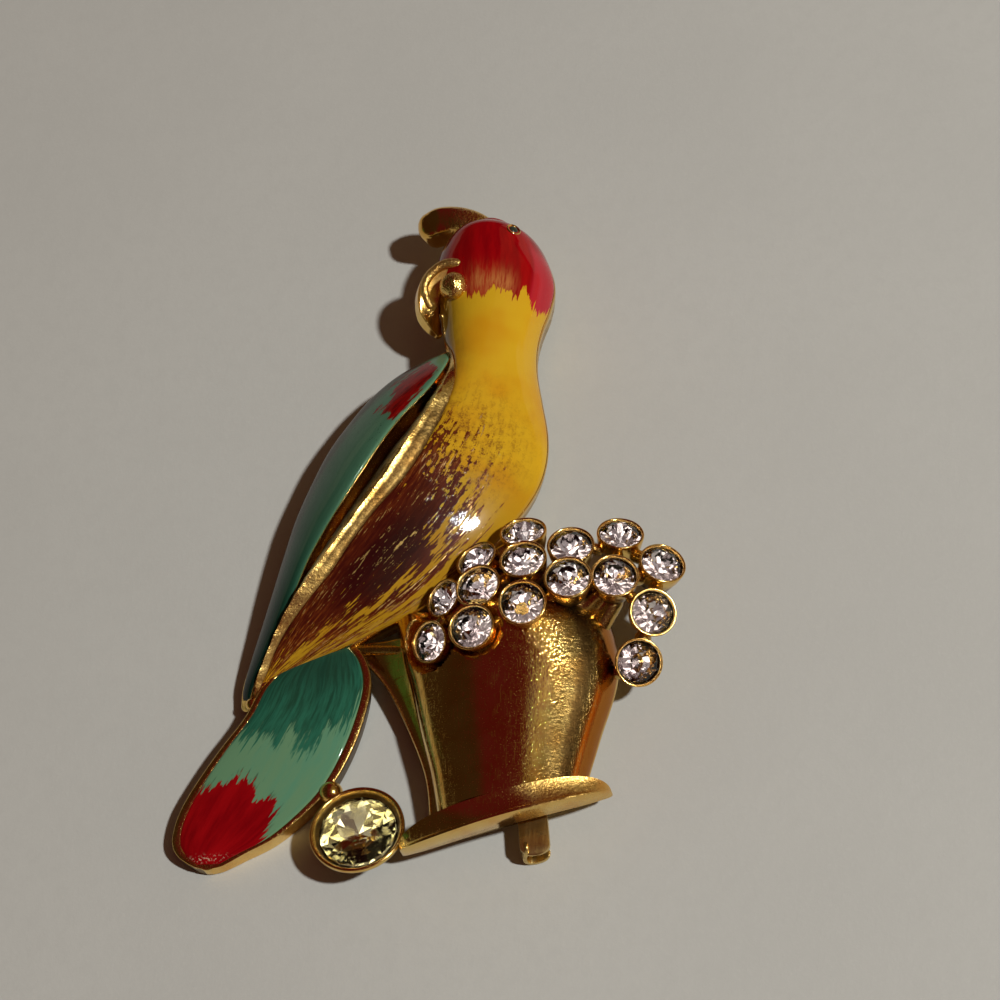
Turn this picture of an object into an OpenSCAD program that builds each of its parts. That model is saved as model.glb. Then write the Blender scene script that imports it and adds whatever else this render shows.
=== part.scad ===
// Bird brooch: a gilt casting of a bird beside a flowerpot, with brushed enamel,
// fifteen clear stones as the bouquet, one larger stone under the tail and a pin at the back.
// The brooch lies on its back: X runs to the right, Y from the pot's foot to the bird's head
// and Z up from the surface that it lies on.

/* [Casting] */
// Height of the flat back above the surface that the brooch lies on
back_z = 2.6; // [2.5:0.1:2.8]
// Radius of the rounded bar that is the bird's crest, at its thick end
crest_r = 1.6; // [1.2:0.1:1.7]
// Radius of the ball that is the lower half of the beak
beak_ball_r = 1.4; // [1.2:0.05:1.5]
// Radius of the small ball at the wing tip
wing_ball_r = 0.7; // [0.5:0.1:0.9]
// Radius of the knob that joins the tail to its stone's cup
tail_knob_r = 1.1; // [0.9:0.1:1.3]

/* [Enamel] */
// Depth of the pockets that hold the enamel
enamel_t = 0.45; // [0.35:0.05:0.5]
// How far the enamel stands proud of the metal rim
enamel_proud = 0.06; // [0:0.02:0.1]
// Diameter of the bird's eye, with its gilt ring
eye_d = 1.3; // [1:0.1:1.6]

/* [Stones] */
// Diameter of each stone of the bouquet
stone_d = 3.8; // [3.4:0.1:3.9]
// Outer diameter of the cup that holds a bouquet stone
cup_d = 4.7; // [4.6:0.1:5]
// Height of a cup from its foot to its lip
cup_h = 3; // [2.6:0.1:3.2]
// Diameter of the large stone under the tail
tail_stone_d = 7.2; // [6.6:0.1:7.3]
// Outer diameter of the large stone's cup
tail_cup_d = 8.9; // [8.8:0.1:9.2]
// Clearance of a stone or an enamel coat from the metal round it
fit_gap = 0.05; // [0.04:0.01:0.08]

/* [Pot] */
// How far the rounded lip of the foot stands out along the pot
foot_lip_r = 1.2; // [1.1:0.05:1.3]
// Height of the foot's arch above the flat back
foot_rise = 2.8; // [2.6:0.1:3.2]

/* [Pin] */
// Diameter of the pin stem
stem_d = 0.9; // [0.8:0.05:1]
// Width of the plate that carries the pin
plate_w = 2.8; // [2.4:0.1:3.2]
// Thickness of that plate
plate_t = 0.6; // [0.5:0.05:0.7]
// Length of the pin stem from its hinge to its point
stem_len = 41; // [40:0.5:41]

/* [Hidden] */

// The drawing is moved by this much, so that the origin lies under the middle of the brooch
middle = [0.85, -2.02, 0];

GILT = [0.83, 0.62, 0.22];
RED = [0.68, 0.05, 0.07];
YELLOW = [0.87, 0.68, 0.13];
TEAL = [0.25, 0.5, 0.42];
SEAFOAM = [0.42, 0.6, 0.48];
CRYSTAL = [0.86, 0.88, 0.92];
TOPAZ = [0.88, 0.85, 0.6];
DARK = [0.06, 0.08, 0.06];

// Columns of a dome table, a row for each section across the form
LEFT_X = 0;
LEFT_Y = 1;
LEFT_Z = 2;
RIGHT_X = 3;
RIGHT_Y = 4;
RIGHT_Z = 5;
// Rise of the dome over the line that joins its two edges
RISE = 6;
// Height of the underside at the left and at the right edge
UNDER_L = 7;
UNDER_R = 8;
// Where the enamel starts and ends across the dome, from 0 at the left edge to 1
FROM = 9;
TO = 10;

// Head, neck and body, from the top of the head to the point beside the wing tip
BODY = [
    // left x, y, z, right x, y, z, rise, under left, under right, enamel from, to
    [1.3, 35.9, 5.4, 4.3, 35.4, 5.4, 1.6, 4.2, 4.2, 0.1, 0.9],
    [-1.2, 34.4, 5.0, 6.8, 33.4, 5.0, 4.0, 3.4, 3.4, 0.04, 0.96],
    [-2.7, 32.3, 5.0, 8.5, 30.7, 4.8, 5.0, 3.0, 2.9, 0.03, 0.97],
    [-3.1, 30.0, 5.0, 9.2, 28.2, 4.7, 5.4, 2.8, 2.7, 0.03, 0.97],
    [-2.8, 27.4, 5.0, 8.9, 25.8, 4.6, 5.2, 2.7, 2.6, 0.03, 0.97],
    [-2.2, 24.6, 5.2, 8.1, 23.2, 4.5, 4.6, 2.6, 2.6, 0.03, 0.97],
    [-1.6, 21.8, 5.8, 7.7, 20.8, 4.4, 4.0, 2.6, 2.6, 0.05, 0.97],
    [-0.9, 18.6, 6.8, 7.8, 18.0, 4.3, 3.5, 2.6, 2.6, 0.13, 0.97],
    [-1.5, 14.9, 7.8, 8.4, 14.8, 4.2, 3.0, 2.6, 2.6, 0.19, 0.97],
    [-3.1, 10.9, 8.2, 9.1, 11.0, 4.2, 2.8, 2.6, 2.6, 0.25, 0.97],
    [-5.4, 7.2, 8.3, 9.1, 7.6, 4.2, 2.8, 2.6, 2.6, 0.27, 0.97],
    [-7.6, 3.8, 8.0, 8.2, 4.4, 4.2, 2.8, 2.6, 2.6, 0.27, 0.97],
    [-9.8, 0.3, 7.6, 6.2, 1.0, 4.3, 2.8, 2.6, 2.6, 0.27, 0.96],
    [-11.5, -2.4, 7.1, 3.6, -2.2, 4.3, 2.7, 2.6, 2.6, 0.26, 0.95],
    [-13.2, -5.0, 6.4, 0.4, -5.4, 4.1, 2.5, 2.5, 2.6, 0.25, 0.93],
    [-14.7, -7.5, 5.6, -3.2, -8.3, 3.8, 2.1, 2.3, 2.5, 0.22, 0.9],
    [-16.1, -10.0, 4.8, -7.4, -10.3, 3.4, 1.5, 2.0, 2.3, 0.24, 0.87],
    [-17.3, -12.4, 3.9, -11.6, -12.1, 3.1, 0.9, 1.7, 2.0, 0.27, 0.82],
    [-18.3, -14.5, 3.0, -15.6, -14.0, 2.7, 0.5, 1.4, 1.6, 0.34, 0.72],
    [-18.9, -16.2, 2.4, -18.0, -15.9, 2.3, 0.2, 1.2, 1.4, 0.4, 0.6]
];

// First and last rows of the head's and of the body's enamel
HEAD_ROWS = [1, 4];
BODY_ROWS = [4, 18];

// The wing, a long leaf that stands over the body, from the shoulder to its tip
WING = [
    // left x, y, z, right x, y, z, rise, under left, under right, enamel from, to
    [-1.2, 20.2, 6.6, -0.2, 19.2, 7.4, 0.2, 5.0, 5.0, 0.3, 0.7],
    [-3.3, 19.5, 6.2, -0.8, 16.4, 9.0, 0.4, 4.8, 4.4, 0.05, 0.95],
    [-6.3, 18.2, 5.6, -2.0, 14.0, 9.4, 0.7, 4.2, 3.8, 0.03, 0.96],
    [-8.9, 16.0, 5.2, -4.2, 11.2, 9.5, 0.9, 3.8, 3.4, 0.03, 0.96],
    [-11.0, 13.3, 4.9, -6.1, 8.3, 9.5, 1.0, 3.5, 3.0, 0.03, 0.96],
    [-12.9, 10.3, 4.6, -8.0, 5.1, 9.2, 1.1, 3.2, 2.8, 0.03, 0.96],
    [-14.4, 6.8, 4.3, -9.9, 1.9, 8.7, 1.1, 2.9, 2.6, 0.03, 0.96],
    [-15.7, 3.1, 4.0, -11.5, -0.6, 8.0, 1.1, 2.6, 2.5, 0.03, 0.96],
    [-16.7, -0.9, 3.6, -13.1, -3.4, 7.2, 1.0, 2.3, 2.4, 0.03, 0.96],
    [-17.6, -4.9, 3.2, -14.5, -6.6, 6.2, 0.9, 2.0, 2.2, 0.03, 0.96],
    [-18.5, -8.5, 2.7, -15.9, -9.6, 5.2, 0.7, 1.7, 2.0, 0.04, 0.95],
    [-19.3, -11.6, 2.3, -17.3, -12.4, 4.1, 0.5, 1.4, 1.7, 0.06, 0.93],
    [-19.9, -14.1, 1.9, -18.5, -14.7, 3.0, 0.3, 1.1, 1.3, 0.1, 0.88],
    [-20.0, -15.9, 1.6, -18.9, -16.4, 2.2, 0.1, 0.9, 1.0, 0.3, 0.7]
];
WING_ROWS = [0, 12];
// The body's row that lies beside a row of the wing is this many rows further on
GROOVE_ROW = 6;

// The tail, a flat spoon with a gilt rim, from under the body to its rounded end
TAIL = [
    // left x, y, z, right x, y, z, rise, under left, under right, enamel from, to
    [-14.6, -11.6, 3.3, -8.9, -10.6, 3.4, 0.2, 1.8, 1.8, 0.2, 0.8],
    [-17.4, -14.8, 3.4, -7.6, -12.6, 3.5, 0.4, 1.6, 1.6, 0.15, 0.85],
    [-18.9, -18.0, 3.3, -6.9, -15.0, 3.4, 0.5, 1.3, 1.4, 0.15, 0.85],
    [-21.0, -21.1, 3.1, -7.3, -18.3, 3.2, 0.6, 0.9, 1.1, 0.15, 0.85],
    [-22.9, -24.0, 2.7, -8.3, -21.6, 2.9, 0.6, 0.5, 0.8, 0.15, 0.85],
    [-24.3, -26.6, 2.4, -9.9, -24.7, 2.5, 0.5, 0.2, 0.4, 0.15, 0.85],
    [-25.0, -28.7, 2.0, -12.1, -27.2, 2.2, 0.4, 0.0, 0.1, 0.15, 0.85],
    [-25.0, -30.3, 1.8, -15.1, -29.7, 1.9, 0.3, 0.0, 0.0, 0.17, 0.84],
    [-24.2, -31.5, 1.6, -18.1, -31.3, 1.7, 0.2, 0.0, 0.0, 0.24, 0.78],
    [-22.6, -32.2, 1.4, -20.4, -32.2, 1.4, 0.1, 0.1, 0.1, 0.35, 0.65]
];
TAIL_ROWS = [0, 8];

// The pot, half a drum that narrows downwards, from its mouth to its foot
POT = [
    // left x, y, z, right x, y, z, rise, under left, under right
    [-4.6, -9.4, 3.6, 15.6, -9.4, 3.0, 4.4, 2.6, 2.6],
    [-4.2, -11.2, 3.8, 16.2, -11.2, 3.0, 5.2, 2.6, 2.6],
    [-3.6, -13.6, 3.8, 16.6, -14.0, 2.9, 5.2, 2.6, 2.6],
    [-2.8, -16.0, 3.7, 16.3, -16.8, 2.8, 4.9, 2.6, 2.6],
    [-1.6, -20.6, 3.5, 15.2, -20.8, 2.7, 4.2, 2.6, 2.6],
    [-0.4, -24.8, 3.3, 14.3, -24.4, 2.7, 3.4, 2.6, 2.6],
    [0.5, -29.0, 3.2, 13.8, -26.6, 2.7, 2.8, 2.6, 2.6]
];

// The hollow flare along the pot's left side, from the mouth to the foot
FLARE = [
    // left x, y, z, right x, y, z, rise, under left, under right
    [-9.2, -10.6, 2.9, -1.6, -11.4, 6.4, -0.6, 2.0, 2.6],
    [-7.6, -12.4, 2.8, -1.2, -13.6, 6.3, -0.8, 2.0, 2.6],
    [-5.2, -15.4, 2.7, -0.4, -16.4, 6.1, -0.8, 2.0, 2.6],
    [-2.6, -20.4, 2.5, 0.6, -20.8, 5.4, -0.7, 2.0, 2.6],
    [-1.0, -24.6, 2.4, 1.4, -24.8, 4.9, -0.6, 2.0, 2.6],
    [-0.3, -29.0, 2.4, 2.0, -28.8, 4.4, -0.5, 2.0, 2.6]
];

// Bars of round section, a row for each point
POINT = 0;
BAR_R = 3;
CREST = [
    // x, y, z and radius as a share of the full one
    [4.4, 34.0, 6.4, 0.5],
    [3.2, 35.2, 6.6, 0.6],
    [1.5, 36.3, 6.5, 0.7],
    [-0.4, 36.9, 6.2, 0.85],
    [-2.2, 36.9, 5.9, 0.95],
    [-3.7, 36.4, 5.6, 1.0],
    [-4.8, 35.6, 5.3, 0.85],
    [-5.3, 35.2, 5.2, 0.4]
];
BEAK = [
    // x, y, z and radius in mm
    [1.6, 28.4, 8.2, 0.9],
    [0.4, 28.8, 8.2, 1.1],
    [-1.3, 28.9, 8.1, 1.3],
    [-2.7, 28.1, 7.7, 1.4],
    [-3.4, 26.7, 7.1, 1.35],
    [-3.5, 25.2, 6.4, 1.15],
    [-3.0, 24.0, 5.8, 0.85],
    [-2.5, 23.2, 5.4, 0.4]
];
BEAK_BALL = [-0.5, 26.4, 8.9];
WING_BALL = [-18.6, -16.2, 2.4];

// Bouquet stones: middle of the girdle x, y, z and the way that the stone faces
STONES = [
    [7.8, -1.6, 7.4, 0.0, 0.42, 0.91],
    [8.3, -5.6, 9.2, 0.0, 0.2, 0.98],
    [3.5, -4.4, 7.6, -0.35, 0.25, 0.9],
    [4.1, -8.1, 9.0, -0.2, 0.0, 0.98],
    [0.5, -8.2, 7.2, -0.5, 0.0, 0.87],
    [8.6, -10.6, 9.9, 0.05, -0.15, 0.99],
    [3.8, -12.5, 9.2, -0.15, -0.15, 0.98],
    [-0.6, -12.7, 7.0, -0.45, -0.25, 0.86],
    [12.7, -8.0, 9.6, 0.1, 0.05, 0.99],
    [12.6, -3.9, 8.4, 0.1, 0.2, 0.97],
    [16.9, -7.5, 8.6, 0.2, 0.0, 0.98],
    [17.0, -2.0, 6.8, 0.2, 0.35, 0.91],
    [21.0, -5.3, 6.6, 0.4, 0.15, 0.9],
    [20.3, -10.6, 7.0, 0.4, -0.3, 0.87],
    [18.9, -15.0, 5.6, 0.3, -0.45, 0.84]
];
FACING = 3;

// Where the stems of the inner cups meet, and how many cups stand on such stems
BOUQUET_ROOT = [6.5, -10.2, 5.0];
INNER_CUPS = 11;
stem_r_root = 2.4;
stem_r_cup = 1.5;
stem_depth = 2;

// Bridges between neighbouring cups
FIRST_CUP = 0;
SECOND_CUP = 1;
BRIDGE_R = 2;
BRIDGES = [
    // stone number, stone number and radius of the bridge
    [1, 2, 0.9],
    [1, 3, 0.8],
    [10, 12, 0.6],
    [11, 12, 0.7],
    [11, 13, 0.8],
    [12, 13, 0.7],
    [13, 14, 0.8],
    [14, 15, 0.8],
    [11, 14, 0.6]
];
bridge_depth = 1.3;

// Bars that tie the bouquet to the pot's right side and the pot's mouth to the tail
STRUT_END = 3;
STRUT_R = 6;
STRUTS = [
    // from x, y, z, to x, y, z and radius
    [18.5, -14.6, 4.0, 15.4, -15.0, 3.6, 0.8],
    [14.8, -11.2, 4.8, 16.2, -8.4, 5.8, 1.3],
    [-9.6, -11.0, 2.9, -3.0, -12.0, 4.2, 0.5],
    [-3.2, -11.6, 4.4, 1.0, -9.0, 5.4, 0.8]
];

// The large stone's cup lies level, beside the tail
TAIL_STONE_AT = [-7.0, -29.9, 3.3];
TAIL_KNOB_AT = [-10.1, -25.6, 2.3];
tail_cup_lip = 0.4;
tail_cup_under = 1.0;
tail_cup_foot_r = 2.8;

// The foot is an arch turned a little, because its right end lies higher
FOOT_MIDDLE = [6.6, -29.4, 3.0];
foot_turn = 15.5;
foot_half = 9.0;
foot_steps = 14;

// Faces round a bar and across a dome
bar_sides = 10;
dome_steps = 12;
rim_steps = 2;
cup_sides = 16;
tail_cup_sides = 28;
ball_sides = 14;
// Sides of the true rounds, which OpenSCAD alone draws with facets
fine_sides = 32;

// How far the end of a loft stands out as a shallow cone
end_cone = 0.15;
// Depth of a section's pocket where it holds no enamel
flush_depth = 0.04;
// How far a section's underside is drawn in at each edge, as a share of its width
under_inset = 0.03;
// Clearance of an enamel coat at its sides, as a share of the way across the dome
coat_side = 0.012;

// Cut of a stone, in shares of its radius
table_share = 0.55;
crown_share = 0.3;
girdle_share = 0.1;
pavilion_share = 0.75;
flat_pavilion_share = 0.5;
cut_facets = 8;

// The pin lies under the body and the pot, from its hinge to its catch
HINGE_AT = [4.4, 8.6];
CATCH_AT = [9.5, -32.4];
pin_dir = (CATCH_AT - HINGE_AT) / norm(CATCH_AT - HINGE_AT);
pin_run = norm(CATCH_AT - HINGE_AT);
pin_turn = atan2(pin_dir[1], pin_dir[0]);
stem_z = 1.0;
knuckle_d = 2.0;
knuckle_w = 2.4;
catch_w = 1.6;
catch_t = 0.5;
catch_reach = 2;
catch_floor_t = 0.45;

// Place of the eye: share of the way from the second to the third row, and across the dome
eye_row_share = 0.25;
eye_t = 0.68;
eye_ring_w = 0.25;
eye_r = eye_d / 2 - eye_ring_w;
eye_ring_proud = 0.15;
eye_seat = 0.3;
eye_post_h = 1.5;
eye_dome = 0.22;
eye_ball_r = 0.9;

function part_of(rows, first_last) = [for (i = [first_last[0]:first_last[1]]) rows[i]];
// The three values of a row from the given column on
function three(row, column) = [row[column], row[column + 1], row[column + 2]];
function left_edge(row) = three(row, LEFT_X);
function right_edge(row) = three(row, RIGHT_X);
function unit(v) = v / norm(v);

// A point on the dome, t from 0 at the left edge to 1 at the right edge
function dome_point(row, t, lift) =
    let (a = left_edge(row), b = right_edge(row), angle = 180 * t)
    a + (b - a) * (1 - cos(angle)) / 2 - unit(b - a) * lift * cos(angle)
    + [0, 0, (row[RISE] + lift) * sin(angle)];

function dome_arc(row, from, to, steps, lift) =
    [for (i = [0:steps]) dome_point(row, from + (to - from) * i / steps, lift)];

// The underside of a section, from its right edge to its left edge
function under_points(row) =
    let (a = left_edge(row), b = right_edge(row), inward = (b - a) * under_inset)
    [
        [b[0] - inward[0], b[1] - inward[1], row[UNDER_R]],
        [a[0] + inward[0], a[1] + inward[1], row[UNDER_L]]
    ];

// A section of the casting with its enamel pocket between two rims
function pocket_ring(row, depth) = concat(
    dome_arc(row, 0, row[FROM], rim_steps, 0),
    dome_arc(row, row[FROM], row[TO], dome_steps, -depth),
    dome_arc(row, row[TO], 1, rim_steps, 0),
    under_points(row));

function plain_ring(row) = concat(dome_arc(row, 0, 1, dome_steps + rim_steps, 0), under_points(row));

// A section of the enamel that fills the pocket, clear of the metal all round
function enamel_ring(row, depth) =
    let (from = row[FROM] + coat_side, to = row[TO] - coat_side)
    concat(
        dome_arc(row, from, to, dome_steps, enamel_proud),
        [for (i = [0:dome_steps]) dome_point(row, to + (from - to) * i / dome_steps, fit_gap - depth)]);

function blend_rows(a, b, share) = a + (b - a) * share;

function middle_of(ring) = [for (k = [0:2]) sum_of(ring, k, 0) / len(ring)];
function sum_of(ring, k, i) = i == len(ring) ? 0 : ring[i][k] + sum_of(ring, k, i + 1);

// The tip of an end's shallow cone, a little way out from the end's middle
function end_tip(ring, next) = middle_of(ring) + unit(middle_of(ring) - middle_of(next)) * end_cone;

// Closes a stack of rings that have the same number of points into one solid, with conical ends
module loft(rings) {
    count = len(rings[0]);
    last = len(rings) - 1;
    tips = [end_tip(rings[0], rings[1]), end_tip(rings[last], rings[last - 1])];
    points = concat([for (ring = rings) each ring], tips);
    tip = (last + 1) * count;
    sides = [for (i = [0:last - 1]) for (j = [0:count - 1])
        let (k = (j + 1) % count, low = i * count, high = (i + 1) * count)
        each [[low + j, high + k, high + j], [low + j, low + k, high + k]]];
    start = [for (j = [0:count - 1]) [tip, (j + 1) % count, j]];
    end = [for (j = [0:count - 1]) [tip + 1, last * count + j, last * count + (j + 1) % count]];
    polyhedron(points, concat(sides, start, end), convexity = 6);
}

// A bar of round section through points with a radius each
module bar(rows, scale_r = 1) {
    last = len(rows) - 1;
    rings = [for (i = [0:last])
        let (
            here = three(rows[i], POINT),
            before = three(rows[max(i - 1, 0)], POINT),
            after = three(rows[min(i + 1, last)], POINT),
            along = unit(after - before),
            side = unit(cross(along, [0, 0, 1])),
            up = cross(side, along),
            r = rows[i][BAR_R] * scale_r)
        [for (j = [0:bar_sides - 1])
            let (angle = 360 * j / bar_sides)
            here + side * r * cos(angle) + up * r * sin(angle)]];
    loft(rings);
}

// Turns what stands on the origin along Z to face the given way
module facing(way) {
    tilt = acos(way[2] / norm(way));
    turn = atan2(way[1], way[0]);
    rotate([0, 0, turn])
        rotate([0, tilt, 0])
            rotate([0, 0, -turn])
                children();
}

module at_stone(number) {
    row = STONES[number - 1];
    translate(three(row, POINT))
        facing(three(row, FACING))
            children();
}

function stone_middle(number, depth) =
    let (row = STONES[number - 1])
    three(row, POINT) - unit(three(row, FACING)) * depth;

// Turns to the surface of the head where the eye is
module at_eye() {
    row = blend_rows(BODY[1], BODY[2], eye_row_share);
    near = 0.02;
    across = dome_point(row, eye_t + near, 0) - dome_point(row, eye_t - near, 0);
    down = dome_point(BODY[2], eye_t, 0) - dome_point(BODY[1], eye_t, 0);
    translate(dome_point(row, eye_t, 0))
        facing(unit(cross(down, across)))
            children();
}

module ball(at, r) {
    translate(at)
        sphere(r = r, $fn = ball_sides);
}

module rod(a, ra, b, rb) {
    hull() {
        translate(a)
            sphere(r = ra, $fn = bar_sides);
        translate(b)
            sphere(r = rb, $fn = bar_sides);
    }
}

// A stone with its girdle's upper edge at the origin: table, crown, girdle and pavilion
module cut_stone(d, pavilion) {
    r = d / 2;
    n = cut_facets;
    rim = 2 * n;
    points = concat(
        [for (i = [0:n - 1]) [r * table_share * cos(360 * i / n), r * table_share * sin(360 * i / n),
            r * crown_share]],
        [for (i = [0:rim - 1]) [r * cos(180 * i / n), r * sin(180 * i / n), 0]],
        [for (i = [0:rim - 1]) [r * cos(180 * i / n), r * sin(180 * i / n), -r * girdle_share]],
        [[0, 0, -r * pavilion]]);
    upper = n;
    lower = n + rim;
    tip = n + 2 * rim;
    crown = [for (i = [0:n - 1])
        let (next = (i + 1) % n, here = 2 * i, mid = 2 * i + 1, far = (2 * i + 2) % rim)
        each [[i, upper + mid, upper + here], [i, next, upper + mid], [next, upper + far, upper + mid]]];
    wall = [for (i = [0:rim - 1])
        let (next = (i + 1) % rim)
        each [[upper + i, upper + next, lower + next], [upper + i, lower + next, lower + i]]];
    below = [for (i = [0:rim - 1]) [lower + i, lower + (i + 1) % rim, tip]];
    table = [[for (i = [0:n - 1]) n - 1 - i]];
    polyhedron(points, concat(table, crown, wall, below));
}

// Space that a stone of this diameter needs, with its clearance
module stone_seat(d, pavilion) {
    r = d / 2 + fit_gap;
    depth = d / 2 * pavilion + 2 * fit_gap;
    girdle = d / 2 * girdle_share + fit_gap;
    point_r = 0.3;
    translate([0, 0, -girdle])
        cylinder(r = r, h = cup_h, $fn = cup_sides);
    translate([0, 0, -depth])
        cylinder(r1 = point_r, r2 = r, h = depth - girdle, $fn = cup_sides);
}

module cup() {
    lip = 0.35;
    taper = 0.6;
    translate([0, 0, lip - cup_h])
        cylinder(r1 = cup_d / 2 - taper, r2 = cup_d / 2, h = cup_h, $fn = cup_sides);
}

module tail_cup() {
    top = TAIL_STONE_AT[2] + tail_cup_lip;
    lip_h = 0.5;
    cone_h = top - tail_cup_under - lip_h;
    translate([TAIL_STONE_AT[0], TAIL_STONE_AT[1], tail_cup_under])
        cylinder(r1 = tail_cup_foot_r, r2 = tail_cup_d / 2, h = cone_h, $fn = tail_cup_sides);
    translate([TAIL_STONE_AT[0], TAIL_STONE_AT[1], top - lip_h])
        cylinder(d = tail_cup_d, h = lip_h, $fn = tail_cup_sides);
}

module foot() {
    arch = [for (i = [0:foot_steps])
        let (angle = 180 * i / foot_steps)
        [-foot_half * cos(angle), 0, foot_rise * sin(angle), foot_lip_r]];
    web = 1.1;
    translate(FOOT_MIDDLE)
        rotate([0, 0, foot_turn]) {
            bar(arch);
            ball([-foot_half, 0, 0], foot_lip_r);
            ball([foot_half, 0, 0], foot_lip_r);
            rotate([90, 0, 0])
                linear_extrude(2 * web, center = true)
                    intersection() {
                        resize([2 * foot_half, 2 * foot_rise])
                            circle(r = foot_half, $fn = 2 * foot_steps);
                        translate([-foot_half, 0])
                            square([2 * foot_half, foot_half]);
                    }
        }
}

module bouquet() {
    for (i = [1:len(STONES)])
        at_stone(i)
            cup();
    for (i = [1:INNER_CUPS])
        rod(stone_middle(i, stem_depth), stem_r_cup, BOUQUET_ROOT, stem_r_root);
    for (b = BRIDGES)
        rod(stone_middle(b[FIRST_CUP], bridge_depth), b[BRIDGE_R],
            stone_middle(b[SECOND_CUP], bridge_depth), b[BRIDGE_R]);
    for (s = STRUTS)
        rod(three(s, POINT), s[STRUT_R], three(s, STRUT_END), s[STRUT_R]);
}

function pocket_depth(i, first_last) =
    i >= first_last[0] && i <= first_last[1] ? enamel_t : flush_depth;

// Metal that fills the groove between the wing and the body, below the rims of both
module groove_floor() {
    overlap = 0.6;
    depth = 1.6;
    lowest = 1.4;
    // Way across the groove, also where the two edges meet
    slant = [0.5, -0.3];
    small = 0.05;
    rows = [for (i = [2:len(WING) - 2])
        let (
            w = right_edge(WING[i]),
            b = left_edge(BODY[i + GROOVE_ROW]),
            across = unit([b[0] - w[0] + slant[0], b[1] - w[1] + slant[1], 0]) * overlap,
            z = max(min(w[2], b[2]) - depth, lowest))
        [w[0] - across[0], w[1] - across[1], z, b[0] + across[0], b[1] + across[1], z,
            small, WING[i][UNDER_R] - small, BODY[i + GROOVE_ROW][UNDER_L] - small]];
    loft([for (row = rows) plain_ring(row)]);
}

module enamelled(rows, first_last) {
    loft([for (i = [0:len(rows) - 1]) pocket_ring(rows[i], pocket_depth(i, first_last))]);
}

module casting() {
    color(GILT)
        translate(middle)
            difference() {
                union() {
                    enamelled(BODY, [HEAD_ROWS[0], BODY_ROWS[1]]);
                    enamelled(WING, WING_ROWS);
                    groove_floor();
                    enamelled(TAIL, TAIL_ROWS);
                    loft([for (row = POT) plain_ring(row)]);
                    loft([for (row = FLARE) plain_ring(row)]);
                    foot();
                    bouquet();
                    bar(CREST, crest_r);
                    bar(BEAK);
                    ball(BEAK_BALL, beak_ball_r);
                    ball(WING_BALL, wing_ball_r);
                    ball(TAIL_KNOB_AT, tail_knob_r);
                    tail_cup();
                    at_eye()
                        translate([0, 0, -eye_post_h])
                            cylinder(d = eye_d, h = eye_post_h + eye_ring_proud, $fn = bar_sides);
                }
                for (i = [1:len(STONES)])
                    at_stone(i)
                        stone_seat(stone_d, pavilion_share);
                translate(TAIL_STONE_AT)
                    stone_seat(tail_stone_d, flat_pavilion_share);
                at_eye()
                    translate([0, 0, -eye_seat - fit_gap])
                        cylinder(r = eye_r, h = eye_post_h, $fn = bar_sides);
            }
}

// A coat runs through thin crescent sections and ends in a flat crescent at each end
module enamel_coat(rows) {
    rings = [for (row = rows) enamel_ring(row, enamel_t)];
    count = len(rings[0]);
    last = (len(rings) - 1) * count;
    sides = [for (i = [0:len(rings) - 2]) for (j = [0:count - 1])
        let (k = (j + 1) % count, low = i * count, high = low + count)
        each j < dome_steps
            ? [[low + j, high + k, high + j], [low + j, low + k, high + k]]
            : [[low + j, low + k, high + j], [low + k, high + k, high + j]]];
    start = [for (j = [0:dome_steps - 1])
        let (under = count - 1 - j)
        each [[j + 1, j, under], [j + 1, under, under - 1]]];
    end = [for (j = [0:dome_steps - 1])
        let (under = last + count - 1 - j)
        each [[last + j, last + j + 1, under - 1], [last + j, under - 1, under]]];
    polyhedron([for (ring = rings) each ring], concat(sides, start, end), convexity = 6);
}

// Room for the beak and its ball, which come through the enamel
module beak_room() {
    bar([for (row = BEAK) [row[0], row[1], row[2], row[BAR_R] + fit_gap]]);
    ball(BEAK_BALL, beak_ball_r + fit_gap);
}

// Room for a neighbouring form with its own enamel
module form_room(rows) {
    lift = enamel_proud + fit_gap;
    drop = [0, 0, fit_gap];
    loft([for (row = rows) concat(
        dome_arc(row, 0, 1, dome_steps + rim_steps, lift),
        [for (p = under_points(row)) p - drop])]);
}

module head_enamel() {
    color(RED)
        translate(middle)
            difference() {
                enamel_coat(part_of(BODY, HEAD_ROWS));
                beak_room();
                at_eye()
                    cylinder(r = eye_d / 2 + fit_gap, h = 2 * eye_post_h, center = true, $fn = fine_sides);
            }
}

module body_enamel() {
    rows = part_of(BODY, BODY_ROWS);
    head_gap_share = 0.04;
    start = blend_rows(rows[0], rows[1], head_gap_share);
    color(YELLOW)
        translate(middle)
            difference() {
                enamel_coat([for (i = [0:len(rows) - 1]) i == 0 ? start : rows[i]]);
                beak_room();
                form_room(part_of(TAIL, [0, 3]));
            }
}

module wing_enamel() {
    color(TEAL)
        translate(middle)
            difference() {
                enamel_coat(part_of(WING, WING_ROWS));
                form_room(part_of(BODY, [5, 9]));
            }
}

module tail_enamel() {
    color(SEAFOAM)
        translate(middle)
            difference() {
                enamel_coat(part_of(TAIL, TAIL_ROWS));
                form_room(part_of(BODY, [14, 19]));
            }
}

// The eye is a dark bead, domed on top, in a ring that stands up through the enamel
module eye() {
    color(DARK)
        translate(middle)
            at_eye() {
                translate([0, 0, -eye_seat])
                    cylinder(r = eye_r - fit_gap, h = eye_seat, $fn = fine_sides);
                intersection() {
                    translate([0, 0, eye_dome - eye_ball_r])
                        sphere(r = eye_ball_r, $fn = fine_sides);
                    cylinder(r = eye_r - fit_gap, h = eye_ball_r, $fn = fine_sides);
                }
            }
}

module tail_stone() {
    color(TOPAZ)
        translate(middle + TAIL_STONE_AT)
            cut_stone(tail_stone_d, flat_pavilion_share);
}

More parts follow.
